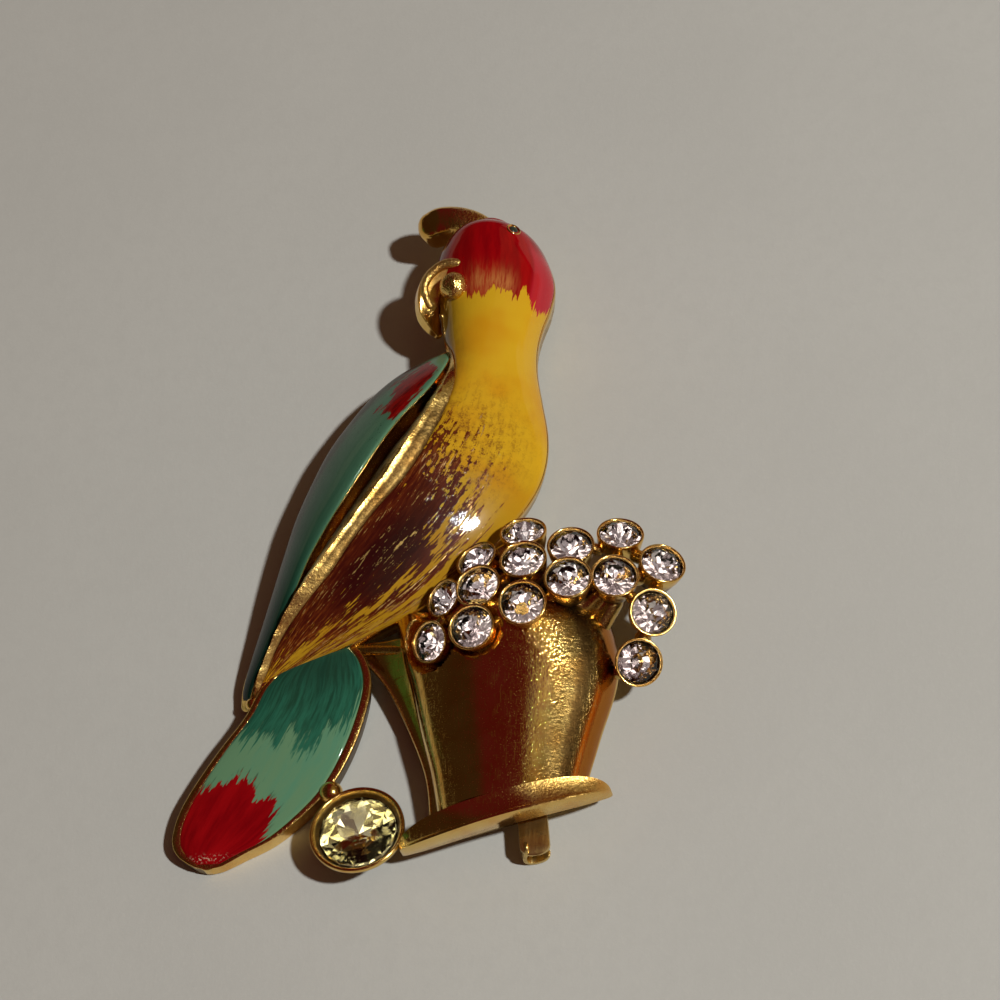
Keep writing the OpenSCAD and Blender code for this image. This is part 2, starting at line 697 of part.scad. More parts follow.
module bouquet_stone(number) {
    color(CRYSTAL)
        translate(middle)
            at_stone(number)
                cut_stone(stone_d, pavilion_share);
}

// One plain piece: plate, hinge knuckle, stem and catch, drawn along X from the hinge
module pin_back() {
    plate_z = back_z - fit_gap - plate_t;
    plate_end = 1.5;
    catch_y = -plate_w / 2;
    color(GILT)
        translate([HINGE_AT[0] + middle[0], HINGE_AT[1] + middle[1], 0])
            rotate([0, 0, pin_turn]) {
                translate([-plate_end, -plate_w / 2, plate_z])
                    cube([pin_run + plate_end, plate_w, plate_t]);
                translate([0, knuckle_w / 2, knuckle_d / 2])
                    rotate([90, 0, 0])
                        cylinder(d = knuckle_d, h = knuckle_w, $fn = fine_sides);
                translate([0, 0, stem_z])
                    rotate([0, 90, 0])
                        cylinder(d = stem_d, h = stem_len, $fn = fine_sides);
                translate([pin_run - catch_w, catch_y, 0])
                    cube([catch_w, catch_t, plate_z + plate_t / 2]);
                translate([pin_run - catch_w, catch_y, 0])
                    cube([catch_w, catch_reach, catch_floor_t]);
            }
}

casting();
head_enamel();
body_enamel();
wing_enamel();
tail_enamel();
eye();
pin_back();
tail_stone();
bouquet_stone(1);  // stone_01
bouquet_stone(2);  // stone_02
bouquet_stone(3);  // stone_03
bouquet_stone(4);  // stone_04
bouquet_stone(5);  // stone_05
bouquet_stone(6);  // stone_06
bouquet_stone(7);  // stone_07
bouquet_stone(8);  // stone_08
bouquet_stone(9);  // stone_09
bouquet_stone(10);  // stone_10
bouquet_stone(11);  // stone_11
bouquet_stone(12);  // stone_12
bouquet_stone(13);  // stone_13
bouquet_stone(14);  // stone_14
bouquet_stone(15);  // stone_15
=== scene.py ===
"""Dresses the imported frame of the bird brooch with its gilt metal, enamel and stones.

Sizes in the tables are in millimetres in the drawing's own coordinates, as in the part's source;
MIDDLE moves them to the frame, and MM turns them into metres.
"""

import math

import bmesh
import bpy
import numpy as np
from mathutils import Matrix, Vector


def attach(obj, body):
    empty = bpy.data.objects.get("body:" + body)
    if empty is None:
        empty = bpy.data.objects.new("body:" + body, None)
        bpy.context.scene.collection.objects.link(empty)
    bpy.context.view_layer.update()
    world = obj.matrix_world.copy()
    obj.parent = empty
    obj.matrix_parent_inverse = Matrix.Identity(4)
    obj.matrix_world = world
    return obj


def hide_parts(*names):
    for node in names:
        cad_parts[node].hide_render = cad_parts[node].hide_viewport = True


bl_info = {
    "name": "Bird Brooch",
    "version": (1, 0, 0),
    "blender": (4, 5, 0),
    "location": "3D View > Sidebar > Brooch",
    "description": "Builds the enamel, stones and gilt metal of a bird brooch on its packed frame",
    "category": "Add Mesh",
}

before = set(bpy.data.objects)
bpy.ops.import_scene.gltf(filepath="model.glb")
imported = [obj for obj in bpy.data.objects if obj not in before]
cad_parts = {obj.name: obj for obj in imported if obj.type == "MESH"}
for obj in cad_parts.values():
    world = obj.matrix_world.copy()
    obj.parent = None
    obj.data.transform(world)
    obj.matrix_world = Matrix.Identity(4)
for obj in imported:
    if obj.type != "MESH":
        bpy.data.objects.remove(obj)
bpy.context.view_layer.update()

MM = 0.001
MIDDLE = np.array([0.85, -2.02, 0.0])

# The dome tables have a row for each section across a form: left edge's x, y, z, right edge's x, y, z,
# rise of the dome, height of the underside at the left and right, and the enamel's start and end across it
LEFT, RIGHT = slice(0, 3), slice(3, 6)
RISE, UNDER_LEFT, UNDER_RIGHT, COAT_FROM, COAT_TO = range(6, 11)

BODY = np.array([
    [1.3, 35.9, 5.4, 4.3, 35.4, 5.4, 1.6, 4.2, 4.2, 0.1, 0.9],
    [-1.2, 34.4, 5.0, 6.8, 33.4, 5.0, 4.0, 3.4, 3.4, 0.04, 0.96],
    [-2.7, 32.3, 5.0, 8.5, 30.7, 4.8, 5.0, 3.0, 2.9, 0.03, 0.97],
    [-3.1, 30.0, 5.0, 9.2, 28.2, 4.7, 5.4, 2.8, 2.7, 0.03, 0.97],
    [-2.8, 27.4, 5.0, 8.9, 25.8, 4.6, 5.2, 2.7, 2.6, 0.03, 0.97],
    [-2.2, 24.6, 5.2, 8.1, 23.2, 4.5, 4.6, 2.6, 2.6, 0.03, 0.97],
    [-1.6, 21.8, 5.8, 7.7, 20.8, 4.4, 4.0, 2.6, 2.6, 0.05, 0.97],
    [-0.9, 18.6, 6.8, 7.8, 18.0, 4.3, 3.5, 2.6, 2.6, 0.20, 0.97],
    [-1.5, 14.9, 7.8, 8.4, 14.8, 4.2, 3.0, 2.6, 2.6, 0.30, 0.97],
    [-3.1, 10.9, 8.2, 9.1, 11.0, 4.2, 2.8, 2.6, 2.6, 0.315, 0.97],
    [-5.4, 7.2, 8.3, 9.1, 7.6, 4.2, 2.9, 2.6, 2.6, 0.335, 0.97],
    [-7.6, 3.8, 8.0, 8.2, 4.4, 4.2, 2.75, 2.6, 2.6, 0.33, 0.97],
    [-9.8, 0.3, 7.6, 6.2, 1.0, 4.3, 2.55, 2.6, 2.6, 0.295, 0.96],
    [-11.5, -2.4, 7.1, 3.6, -2.2, 4.3, 2.4, 2.6, 2.6, 0.285, 0.95],
    [-13.2, -5.0, 6.4, 0.4, -5.4, 4.1, 2.3, 2.5, 2.6, 0.29, 0.93],
    [-14.7, -7.5, 5.6, -3.2, -8.3, 3.8, 2.1, 2.3, 2.5, 0.26, 0.9],
    [-16.1, -10.0, 4.8, -7.4, -10.3, 3.4, 1.5, 2.0, 2.3, 0.22, 0.87],
    [-17.3, -12.4, 3.9, -11.6, -12.1, 3.1, 0.9, 1.7, 2.0, 0.22, 0.82],
    [-18.3, -14.5, 3.0, -15.6, -14.0, 2.7, 0.5, 1.4, 1.6, 0.34, 0.72],
    [-18.9, -16.2, 2.4, -18.0, -15.9, 2.3, 0.2, 1.2, 1.4, 0.4, 0.6],
])

WING = np.array([
    [-1.2, 20.2, 6.6, -0.2, 19.2, 7.4, 0.2, 5.0, 5.0, 0.3, 0.7],
    [-3.3, 19.5, 6.2, -0.8, 16.4, 9.0, 0.4, 4.8, 4.4, 0.05, 0.95],
    [-6.3, 18.2, 5.6, -2.0, 14.0, 9.4, 0.7, 4.2, 3.8, 0.03, 0.96],
    [-8.9, 16.0, 5.2, -4.2, 11.2, 9.5, 0.9, 3.8, 3.4, 0.03, 0.96],
    [-11.0, 13.3, 4.9, -6.1, 8.3, 9.5, 1.0, 3.5, 3.0, 0.03, 0.96],
    [-12.9, 10.3, 4.6, -8.0, 5.1, 9.2, 1.1, 3.2, 2.8, 0.03, 0.96],
    [-14.4, 6.8, 4.3, -9.9, 1.9, 8.7, 1.1, 2.9, 2.6, 0.03, 0.96],
    [-15.7, 3.1, 4.0, -11.5, -0.6, 8.0, 1.1, 2.6, 2.5, 0.03, 0.96],
    [-16.7, -0.9, 3.6, -13.1, -3.4, 7.2, 1.0, 2.3, 2.4, 0.03, 0.96],
    [-17.6, -4.9, 3.2, -14.5, -6.6, 6.2, 0.9, 2.0, 2.2, 0.03, 0.96],
    [-18.5, -8.5, 2.7, -15.9, -9.6, 5.2, 0.7, 1.7, 2.0, 0.04, 0.95],
    [-19.3, -11.6, 2.3, -17.3, -12.4, 4.1, 0.5, 1.4, 1.7, 0.06, 0.93],
    [-19.9, -14.1, 1.9, -18.5, -14.7, 3.0, 0.3, 1.1, 1.3, 0.1, 0.88],
    [-20.0, -15.9, 1.6, -18.9, -16.4, 2.2, 0.1, 0.9, 1.0, 0.3, 0.7],
])

TAIL = np.array([
    [-14.6, -11.6, 3.3, -8.9, -10.6, 3.4, 0.2, 1.8, 1.8, 0.2, 0.8],
    [-17.4, -14.8, 3.4, -7.6, -12.6, 3.5, 0.4, 1.6, 1.6, 0.15, 0.85],
    [-18.9, -18.0, 3.3, -6.9, -15.0, 3.4, 0.5, 1.3, 1.4, 0.15, 0.85],
    [-21.0, -21.1, 3.1, -7.3, -18.3, 3.2, 0.6, 0.9, 1.1, 0.15, 0.85],
    [-22.9, -24.0, 2.7, -8.3, -21.6, 2.9, 0.6, 0.5, 0.8, 0.15, 0.85],
    [-24.3, -26.6, 2.4, -9.9, -24.7, 2.5, 0.5, 0.2, 0.4, 0.15, 0.85],
    [-25.0, -28.7, 2.0, -12.1, -27.2, 2.2, 0.4, 0.0, 0.1, 0.15, 0.85],
    [-25.0, -30.3, 1.8, -15.1, -29.7, 1.9, 0.3, 0.0, 0.0, 0.17, 0.84],
    [-24.3, -31.4, 1.6, -18.0, -31.2, 1.7, 0.2, 0.0, 0.0, 0.22, 0.80],
    [-23.0, -32.2, 1.4, -20.0, -32.2, 1.4, 0.1, 0.1, 0.1, 0.30, 0.70],
    [-22.0, -32.5, 1.35, -21.1, -32.5, 1.35, 0.05, 0.15, 0.15, 0.4, 0.6],
])

POT = np.array([
    [-4.6, -9.4, 3.6, 15.6, -9.4, 3.0, 5.6, 2.6, 2.6],
    [-4.2, -11.2, 3.8, 16.2, -11.2, 3.0, 5.7, 2.6, 2.6],
    [-3.6, -13.6, 3.8, 16.6, -14.0, 2.9, 5.2, 2.6, 2.6],
    [-2.8, -16.0, 3.7, 16.3, -16.8, 2.8, 4.75, 2.6, 2.6],
    [-1.6, -20.6, 3.5, 15.2, -20.8, 2.7, 4.3, 2.6, 2.6],
    [-0.4, -24.8, 3.3, 14.3, -24.4, 2.7, 3.9, 2.6, 2.6],
    [0.5, -29.0, 3.2, 13.8, -26.6, 2.7, 3.6, 2.6, 2.6],
])

FLARE = np.array([
    [-9.2, -10.6, 2.9, -1.6, -11.4, 6.4, -0.6, 2.0, 2.6],
    [-7.6, -12.4, 2.8, -1.2, -13.6, 6.3, -0.8, 2.0, 2.6],
    [-5.2, -15.4, 2.7, -0.4, -16.4, 6.1, -0.8, 2.0, 2.6],
    [-2.6, -20.4, 2.5, 0.6, -20.8, 5.4, -0.7, 2.0, 2.6],
    [-1.0, -24.6, 2.4, 1.4, -24.8, 4.9, -0.6, 2.0, 2.6],
    [-0.3, -29.0, 2.4, 2.0, -28.8, 4.4, -0.5, 2.0, 2.6],
])

# The bars: x, y, z and radius
CREST = np.array([
    [2.6, 34.9, 6.0, 1.0],
    [1.6, 35.6, 6.2, 1.25],
    [0.2, 36.3, 6.2, 1.45],
    [-1.4, 36.8, 6.0, 1.6],
    [-2.9, 36.9, 5.7, 1.75],
    [-4.0, 36.7, 5.4, 1.65],
])

BEAK = np.array([
    [1.6, 28.4, 8.2, 0.9],
    [0.4, 28.8, 8.2, 1.1],
    [-1.3, 28.9, 8.1, 1.3],
    [-2.7, 28.1, 7.7, 1.4],
    [-3.4, 26.7, 7.1, 1.35],
    [-3.5, 25.2, 6.4, 1.15],
    [-3.0, 24.0, 5.8, 0.85],
    [-2.5, 23.2, 5.4, 0.4],
])

# The bright outer arc of the beak
BEAK_ARC = np.array([
    [1.4, 28.1, 9.0, 0.3],
    [0.4, 28.8, 9.3, 0.42],
    [-0.6, 29.1, 9.4, 0.45],
    [-1.7, 29.0, 9.2, 0.45],
    [-2.8, 28.3, 8.9, 0.42],
    [-3.5, 27.2, 8.5, 0.38],
    [-3.4, 26.2, 8.0, 0.34],
    [-3.0, 25.4, 7.4, 0.25],
])

# The bouquet's stones: x, y, z of the girdle's upper edge, and the way that each faces
STONES = np.array([
    [7.8, -1.6, 7.4, 0.0, 0.42, 0.91],
    [8.3, -5.6, 9.2, 0.0, 0.2, 0.98],
    [3.5, -4.4, 7.6, -0.35, 0.25, 0.9],
    [4.1, -8.1, 9.0, -0.2, 0.0, 0.98],
    [0.5, -8.2, 7.2, -0.5, 0.0, 0.87],
    [8.6, -10.6, 9.9, 0.05, -0.15, 0.99],
    [3.8, -12.5, 9.2, -0.15, -0.15, 0.98],
    [-0.6, -12.7, 7.0, -0.45, -0.25, 0.86],
    [12.7, -8.0, 9.6, 0.1, 0.05, 0.99],
    [12.6, -3.9, 8.4, 0.1, 0.2, 0.97],
    [16.9, -7.5, 8.6, 0.2, 0.0, 0.98],
    [17.0, -2.0, 6.8, 0.2, 0.35, 0.91],
    [21.0, -5.3, 6.6, 0.4, 0.15, 0.9],
    [20.3, -10.6, 7.0, 0.4, -0.3, 0.87],
    [18.9, -15.0, 5.6, 0.3, -0.45, 0.84],
])

# Bridges: number of a stone, number of another and radius
BRIDGES = np.array([
    [1, 2, 0.9],
    [1, 3, 0.8],
    [10, 12, 0.6],
    [11, 12, 0.7],
    [11, 13, 0.8],
    [12, 13, 0.7],
    [13, 14, 0.8],
    [14, 15, 0.8],
    [11, 14, 0.6],
])

# Struts: from x, y, z, to x, y, z and radius
STRUTS = np.array([
    [18.2, -14.4, 3.2, 15.4, -15.0, 3.4, 0.7],
    [14.8, -10.8, 4.2, 16.4, -8.6, 5.6, 0.9],
    [12.6, -9.6, 5.2, 14.8, -8.2, 6.4, 0.9],
    [-9.6, -11.0, 2.9, -3.0, -12.0, 4.2, 0.5],
    [-3.2, -11.6, 4.4, 1.0, -9.0, 5.4, 0.8],
])

# Where the red of the head ends: share of the way across, row of BODY
RED_EDGE = np.array([
    [0.0, 3.8], [0.20, 3.9], [0.33, 4.05], [0.38, 4.45], [0.42, 4.72], [0.46, 4.78], [0.50, 4.80],
    [0.53, 4.52], [0.57, 4.34], [0.60, 4.40], [0.63, 4.28], [0.67, 4.52], [0.69, 4.62], [0.72, 4.06],
    [0.755, 4.25], [0.80, 4.62], [0.85, 4.72], [0.92, 4.45], [1.0, 3.9],
])
# Right edge of the brown on the body: row of BODY, share of the way across
BROWN_EDGE = np.array([
    [0.0, -1.0], [8.2, 0.0], [9.0, 0.26], [9.55, 0.36], [10.15, 0.46], [11.0, 0.57], [11.9, 0.66],
    [12.9, 0.72], [13.9, 0.74], [15.0, 0.73], [16.2, 0.68], [17.4, 0.55], [19.0, 0.45],
])
# Where the tail's red starts: share of the way across, row of TAIL
TAIL_RED_EDGE = np.array([
    [0.0, 4.4], [0.15, 4.5], [0.25, 4.42], [0.39, 4.25], [0.45, 4.7], [0.50, 5.0], [0.60, 5.3],
    [0.64, 5.9], [0.70, 6.4], [0.75, 6.8], [0.79, 7.1], [0.86, 7.5], [1.0, 8.2],
])
# Edges of the wing's red patch: row of WING, share of the way across at its left and right
WING_RED = np.array([[1.0, 0.30, 0.72], [2.0, 0.34, 0.80], [3.0, 0.50, 0.82]])

# Rows of the tables: where the forms' metal and coats start and end, and the seam of the head's coat
BODY_START, BODY_POCKET, BODY_COAT, SEAM_ROW = -0.97, (-0.95, 18.0), (-0.93, 18.0), 4.0
WING_COAT, TAIL_COAT = (0.0, 12.7), (0.0, 8.8)
RIM_POINTS, WALL_POINTS, NOSE_RINGS = 11, 5, 5
WALL_LEAN, WALL_BULGE, WALL_FOOT, WALL_STEPS = 0.03, 0.12, 0.25, (0.3, 0.62, 0.86, 0.97)
POCKET_GAP = 0.004
COAT_SOFT, COAT_TUCK, COAT_OVER_METAL = 0.45, 0.07, 0.03
GROOVE_ROW, GROOVE_DEEP, GROOVE_LOWEST, GROOVE_TUCK = 6, 1.9, 1.4, 0.6
BEAK_BALL, BEAK_BALL_R, DENTS, DENT_DEEP = np.array([-0.25, 26.3, 9.15]), 1.5, 22, 0.13
WING_BALL, WING_BALL_R = np.array([-18.6, -16.2, 2.4]), 0.7
# Stems run from the inner cups to the bouquet's root; the first eight cups have bridges where they are near
BOUQUET_ROOT, INNER_CUPS, NEAR_CUPS, NEAR = np.array([6.5, -10.2, 5.0]), 11, 8, 5.3
# The stems carry painted shade, for they lie under and between the cups
STEM_DROP, STEM_R, ROOT_R, STEM_SHADE, SKIN_VOXEL, SKIN_SMOOTH = 3.1, 1.35, 2.4, 0.42, 0.17, 5
BRIDGE_REACH, BRIDGE_DEPTH, NEAR_BRIDGE_R, NEAR_BRIDGE_DEPTH = 2.15, 1.4, 0.7, 1.6
# Cups at the bouquet's left that are smaller than the others, by their place in STONES
SMALLER_CUPS, USUAL_CUP = {2: 0.9, 4: 0.84, 7: 0.86}, 0.955
# A stone's cut, as shares of its radius: table, crown, girdle, pavilion, star and keel
CLEAR_CUT, STRAW_CUT = (0.50, 0.32, 0.08, 0.74, 0.76, 0.34), (0.50, 0.27, 0.10, 0.5, 0.74, 0.40)
STONE_SPIN, CUP_WOBBLE, CUP_SHARP = 0.37, 0.02, 50.0
# The pot's wall keeps clear of the stones in front of it: how deep under each, and how far out this fades
POT_FRONT_STONES, CLEAR_DEPTH, CLEAR_NEAR, CLEAR_FAR, CLEAR_END = [4, 6, 7], 1.9, 1.5, 2.5, 4.5
TAIL_STONE_AT, TAIL_STONE_WAY = np.array([-7.0, -29.9, 3.3]), (0.0, 0.13, 0.99)
TAIL_KNOB_AT, TAIL_KNOB_R = np.array([-10.1, -25.6, 2.3]), 1.1
FOOT_MIDDLE, FOOT_TURN, FOOT_HALF, FOOT_LIP = np.array([6.7, -29.3, 3.0]), 15.5, 8.8, 1.2
FOOT_RISE, FOOT_THICK = 4.0, 2.7
EYE_ROW_SHARE, EYE_T, EYE_R, EYE_HOLE, EYE_LIFT = 0.25, 0.68, 0.78, 0.50, 0.08
PIN_HINGE_AT, PIN_CATCH_AT = np.array([4.4, 8.6, 0.0]), np.array([9.5, -32.4, 0.0])
PIN_PLATE_Z, PIN_WIRE_Z, PIN_WIRE_R, PIN_BARREL_R = 2.25, 1.0, 0.45, 0.98
# The ledge beside the body's enamel: how far its ridge lies from the wall's foot, row by row
LEDGE_RIDGE = np.array([
    [8.0, 0.76], [9.0, 0.70], [10.7, 0.73], [12.4, 0.76], [13.5, 0.70], [14.3, 0.62], [15.4, 0.52],
    [18.0, 0.36],
])
LEDGE_FIRST, LEDGE_LAST, LEDGE_RISE = (7.0, 8.8), (17.8, 18.8), 0.28

# The crown of the head stands a little fuller than its first rows, and ends in a rounded nose
CROWN_FULL, CROWN_NOSE = 0.5, 0.55
for row, share in ((0, 1.0), (1, 0.9), (2, 0.25)):
    outward = (BODY[row, RIGHT] - BODY[row, LEFT]) / np.linalg.norm(BODY[row, RIGHT] - BODY[row, LEFT])
    BODY[row, LEFT] -= outward * CROWN_FULL * share
    BODY[row, RIGHT] += outward * CROWN_FULL * share
    BODY[row, RISE] += CROWN_FULL * share * 1.3
# The body's domes lean towards the gilt strip: how far their summits shift, row by row
LEAN = np.array([[0.0, 0.0], [7.5, 0.0], [10.0, 0.075], [13.0, 0.085], [16.0, 0.05], [19.0, 0.0]])

# The camera stands where the photograph's did, turned a little about its own axis
CAMERA_AIM = np.array([4.6, 4.2, 4.0])
CAMERA_AZIMUTH, CAMERA_ELEVATION, CAMERA_ROLL, CAMERA_DISTANCE = 20.0, 57.0, 20.0, 250.0
CAMERA_LENS, CAMERA_SENSOR = 92.7, 36.0
# One warm lamp, high at the right, as small as the shadows' edges ask; the floor is in metres too
LAMP_WAY, LAMP_AWAY, LAMP_SIZE = (0.60, -0.176, 0.80), 0.9, 0.05
LAMP_POWER, LAMP_COLOUR = 6.0, (1.0, 0.982, 0.945)
FLOOR_HALF, FLOOR_STEPS, FLOOR_Z = 0.9, 36, -0.00001


def tone(red, green, blue):
    """A colour given as it looks on the screen, 0 to 255, as the linear values that shaders take."""
    values = [c / 255 for c in (red, green, blue)]
    return tuple(c / 12.92 if c <= 0.04045 else ((c + 0.055) / 1.055) ** 2.4 for c in values)


def colour_property(name, description, default):
    return bpy.props.FloatVectorProperty(
        name=name, description=description, default=default, size=3, min=0, max=1, subtype="COLOR")


def size_property(name, description, default, low, high):
    return bpy.props.FloatProperty(
        name=name, description=description, default=default, min=low, max=high,
        subtype="DISTANCE", unit="LENGTH", precision=5)


class BroochSizes(bpy.types.PropertyGroup):
    """Sizes of the visible detail that a maker would change"""

    proud: size_property("Enamel proud", "How far the enamel stands over its rim", 0.00006, 0, 0.0002)
    sink: size_property("Pocket depth", "Depth of the metal under the enamel", 0.0003, 0.0001, 0.0004)
    ridge: size_property("Ridge", "Height of the ridge along the body's gilt strip", 0.00022, 0, 0.0004)
    rim: size_property("Tail rim", "Height of the rounded rim round the tail", 0.00016, 0, 0.0003)
    stone: size_property("Bouquet stone", "Diameter of a stone of the bouquet", 0.00405, 0.0034, 0.0041)
    cup: size_property("Bouquet cup", "Outer diameter of a cup of the bouquet", 0.0047, 0.0046, 0.005)
    tail_stone: size_property("Tail stone", "Diameter of the stone under the tail", 0.0072, 0.0066, 0.0073)
    tail_cup: size_property("Tail cup", "Outer diameter of the cup under the tail", 0.0089, 0.0088, 0.0092)


class BroochColours(bpy.types.PropertyGroup):
    """Colours of the enamels, the gilding, the stones and the paper below"""

    gilt: colour_property("Gilt", "Polished gilding", (0.86, 0.60, 0.19))
    gilt_deep: colour_property("Deep gilt", "Redder gilding between the bright places", (0.78, 0.43, 0.10))
    # The dark brown below is painted shade, laid where shade falls on the metal and where it mirrors dark
    # surroundings
    painted_shade_tone: colour_property("Tarnish", "Dark film in the hollows of the metal", tone(58, 34, 14))
    red: colour_property("Red", "Enamel of the head", tone(160, 6, 12))
    yellow: colour_property("Yellow", "Enamel of the neck and the breast", tone(212, 168, 34))
    brown: colour_property("Brown", "Brushed maroon on the body", tone(104, 42, 16))
    seafoam: colour_property("Seafoam", "Light green of the wing and the tail", tone(104, 146, 110))
    green: colour_property("Green", "Dark green brushed on the tail", tone(10, 62, 46))
    crystal: colour_property("Crystal", "Foil behind the clear stones", (0.84, 0.79, 0.75))
    straw: colour_property("Straw crystal", "Foil behind the large stone", (0.92, 0.88, 0.62))
    paper: colour_property("Paper", "Floor that the brooch lies on", tone(200, 202, 197))


def size(name):
    """One of the brooch's sizes, in millimetres."""
    return getattr(bpy.context.scene.brooch_sizes, name) / MM


def paint(name):
    """One of the brooch's colours."""
    return tuple(getattr(bpy.context.scene.brooch_colours, name))


class Finish:
    """The node tree of a material or of the room, with short calls for the nodes that the finishes need."""

    def __init__(self, owner):
        owner.use_nodes = True
        self.owner, self.tree, self.spot = owner, owner.node_tree, None
        self.tree.nodes.clear()

    def node(self, kind, inputs=(), **values):
        made = self.tree.nodes.new(kind)
        for key, value in values.items():
            setattr(made, key, value)
        for key, value in dict(inputs).items():
            if isinstance(value, bpy.types.NodeSocket):
                self.tree.links.new(value, made.inputs[key])
            elif value is not None:
                made.inputs[key].default_value = value
        return made

    def mark(self, name, output="Fac"):
        return self.node("ShaderNodeAttribute", attribute_name=name).outputs[output]

    def stretch(self, vector, scale):
        return self.node("ShaderNodeVectorMath", {0: vector, 1: scale}, operation="MULTIPLY").outputs[0]

    def place(self):
        """The point on the object, in millimetres."""
        if self.spot is None:
            self.spot = self.stretch(self.node("ShaderNodeTexCoord").outputs["Object"], (1 / MM,) * 3)
        return self.spot

    def noise(self, scale, detail=3, rough=0.55, seed=0, stretch=None, at=None):
        """Noise over the object's millimetres, stretched where a stretch is given, or over at."""
        at = at or (self.stretch(self.place(), stretch) if stretch else self.place())
        moved = self.node("ShaderNodeVectorMath", {0: at, 1: (seed, seed * 1.7, seed * 0.6)}, operation="ADD")
        return self.node("ShaderNodeTexNoise", {
            "Vector": moved.outputs[0], "Scale": scale, "Detail": detail, "Roughness": rough}).outputs["Fac"]

    def strokes(self, along, across, seed):
        """Brush marks that run with the form: flow holds millimetres along and across it."""
        flow = self.stretch(self.mark("flow", "Vector"), (along, across, 1.0))
        return self.noise(1.0, 4, 0.6, seed, at=flow)

    def maths(self, operation, a, b, clamp=False):
        return self.node("ShaderNodeMath", {0: a, 1: b}, operation=operation, use_clamp=clamp).outputs[0]

    def term(self, value):
        """A socket or number, or the product of a pair of them."""
        return self.maths("MULTIPLY", *value) if isinstance(value, tuple) else value

    def total(self, first, *terms):
        """Sum of terms."""
        result = self.term(first)
        for term in terms:
            result = self.maths("ADD", result, self.term(term))
        return result

    def ragged(self, name, *swings):
        """A mark's edge, pushed to and fro by strokes, each given with its reach."""
        swung = [(self.maths("SUBTRACT", stroke, 0.5), reach) for stroke, reach in swings]
        return self.total(self.mark(name), *swung)

    def step(self, value, low, high, start=0.0, end=1.0):
        """A smooth step from start at low to end at high."""
        return self.node("ShaderNodeMapRange", {
            0: value, 1: low, 2: high, 3: start, 4: end}, interpolation_type="SMOOTHSTEP").outputs[0]

    def layers(self, colour, *coats):
        """A colour with others laid over it; each coat is the term that is its share, and its colour."""
        for share, over in coats:
            a, b = (x if isinstance(x, bpy.types.NodeSocket) else (*x, 1) for x in (colour, over))
            mixed = self.node("ShaderNodeMix", {0: self.term(share), 6: a, 7: b}, data_type="RGBA")
            colour = mixed.outputs[2]
        return colour

    def bump(self, height, strength, distance, normal=None):
        return self.node("ShaderNodeBump", {
            "Height": height, "Strength": strength, "Distance": distance * MM, "Normal": normal}).outputs[0]

    def surface(self, **inputs):
        """Ends the tree in a Principled shader; keys are its sockets, with _ for a space."""
        shader = self.node("ShaderNodeBsdfPrincipled", {
            key.replace("_", " "): (*v, 1) if isinstance(v, tuple) else v for key, v in inputs.items()})
        return self.end("ShaderNodeOutputMaterial", shader)

    def end(self, kind, shader):
        self.node(kind, {0: shader.outputs[0]})
        return self.owner


def finish(maker, name=None, **values):
    """A finish, made the first time that a piece asks for it; it has its maker's name unless one is given."""
    name = name or maker.__name__
    return bpy.data.materials.get(name) or maker(Finish(bpy.data.materials.new(name)), **values)


def polished_gilt(f, rough=0.13, wear=1.0, deep=0.35):
    """Bright cast gilding: colour drift, fine pits, light scratches, and painted shade laid where a piece
    marks hollows, walls, undersides and dark reflection bands.
    """
    grain = f.noise(5.5, 4, 0.7, 8)
    pits = f.step(f.noise(9.0, 2, 0.6, 1), 0.62, 0.72)
    scratch_a = f.step(f.noise(1.3, 2, seed=5, stretch=(9.0, 0.5, 0.5)), 0.64, 0.70)
    scratch_b = f.step(f.noise(1.1, 2, seed=11, stretch=(0.7, 8.0, 0.7)), 0.65, 0.71)
    # The shade mark paints shade into the colour: a dark brown laid where shade falls and where dark
    # surroundings are mirrored
    hollow = f.mark("hollow")
    shade_film = f.step(f.total(hollow, (hollow, f.noise(1.6, seed=17))), 0.25, 1.1)
    colour = f.layers(
        paint("gilt"), (f.step(f.noise(0.35, seed=3), 0.5 - deep / 2, 0.75), paint("gilt_deep")),
        # A painted orange reflection, gilt mirrored in gilt, where a piece marks it
        (f.mark("orange_reflection"), (0.42, 0.13, 0.015)), ((shade_film, 0.92), paint("painted_shade_tone")))
    roughness = f.total((f.step(grain, 0.35, 0.75), 0.10 * wear), (pits, 0.20 * wear), (shade_film, 0.22),
                        (f.mark("satin"), f.step(grain, 0.3, 0.7, 0.26, 0.44)))
    height = f.total((grain, 0.5), (pits, -1.2), (scratch_a, -0.8), (scratch_b, -0.7))
    normal = f.bump(height, 0.22 * wear, 0.05)
    normal = f.bump(f.term((f.mark("pitted"), f.noise(3.2, 2, 0.6, 2))), 0.5, 0.09, normal)
    return f.surface(Base_Color=colour, Metallic=1.0, Roughness=f.maths("ADD", roughness, rough, clamp=True),
                     Normal=normal)


def enamel(f, colour, rough, height, metal=0.0, gloss=0.75, broken=None):
    """Enamel under a clear coat; broken marks where brush marks break up the coat's highlight."""
    peel = f.noise(1.1, 2, seed=21)
    coat = None if broken is None else f.bump(f.total((height, broken), (peel, 0.3)), 0.28, 0.06)
    return f.surface(
        Base_Color=colour, Metallic=metal, Roughness=rough,
        Normal=f.bump(f.total((height, 0.6), (peel, 0.8)), 0.16, 0.06), Coat_Normal=coat,
        Coat_Weight=gloss, Coat_Roughness=0.04, Coat_IOR=1.5, Specular_IOR_Level=0.03)


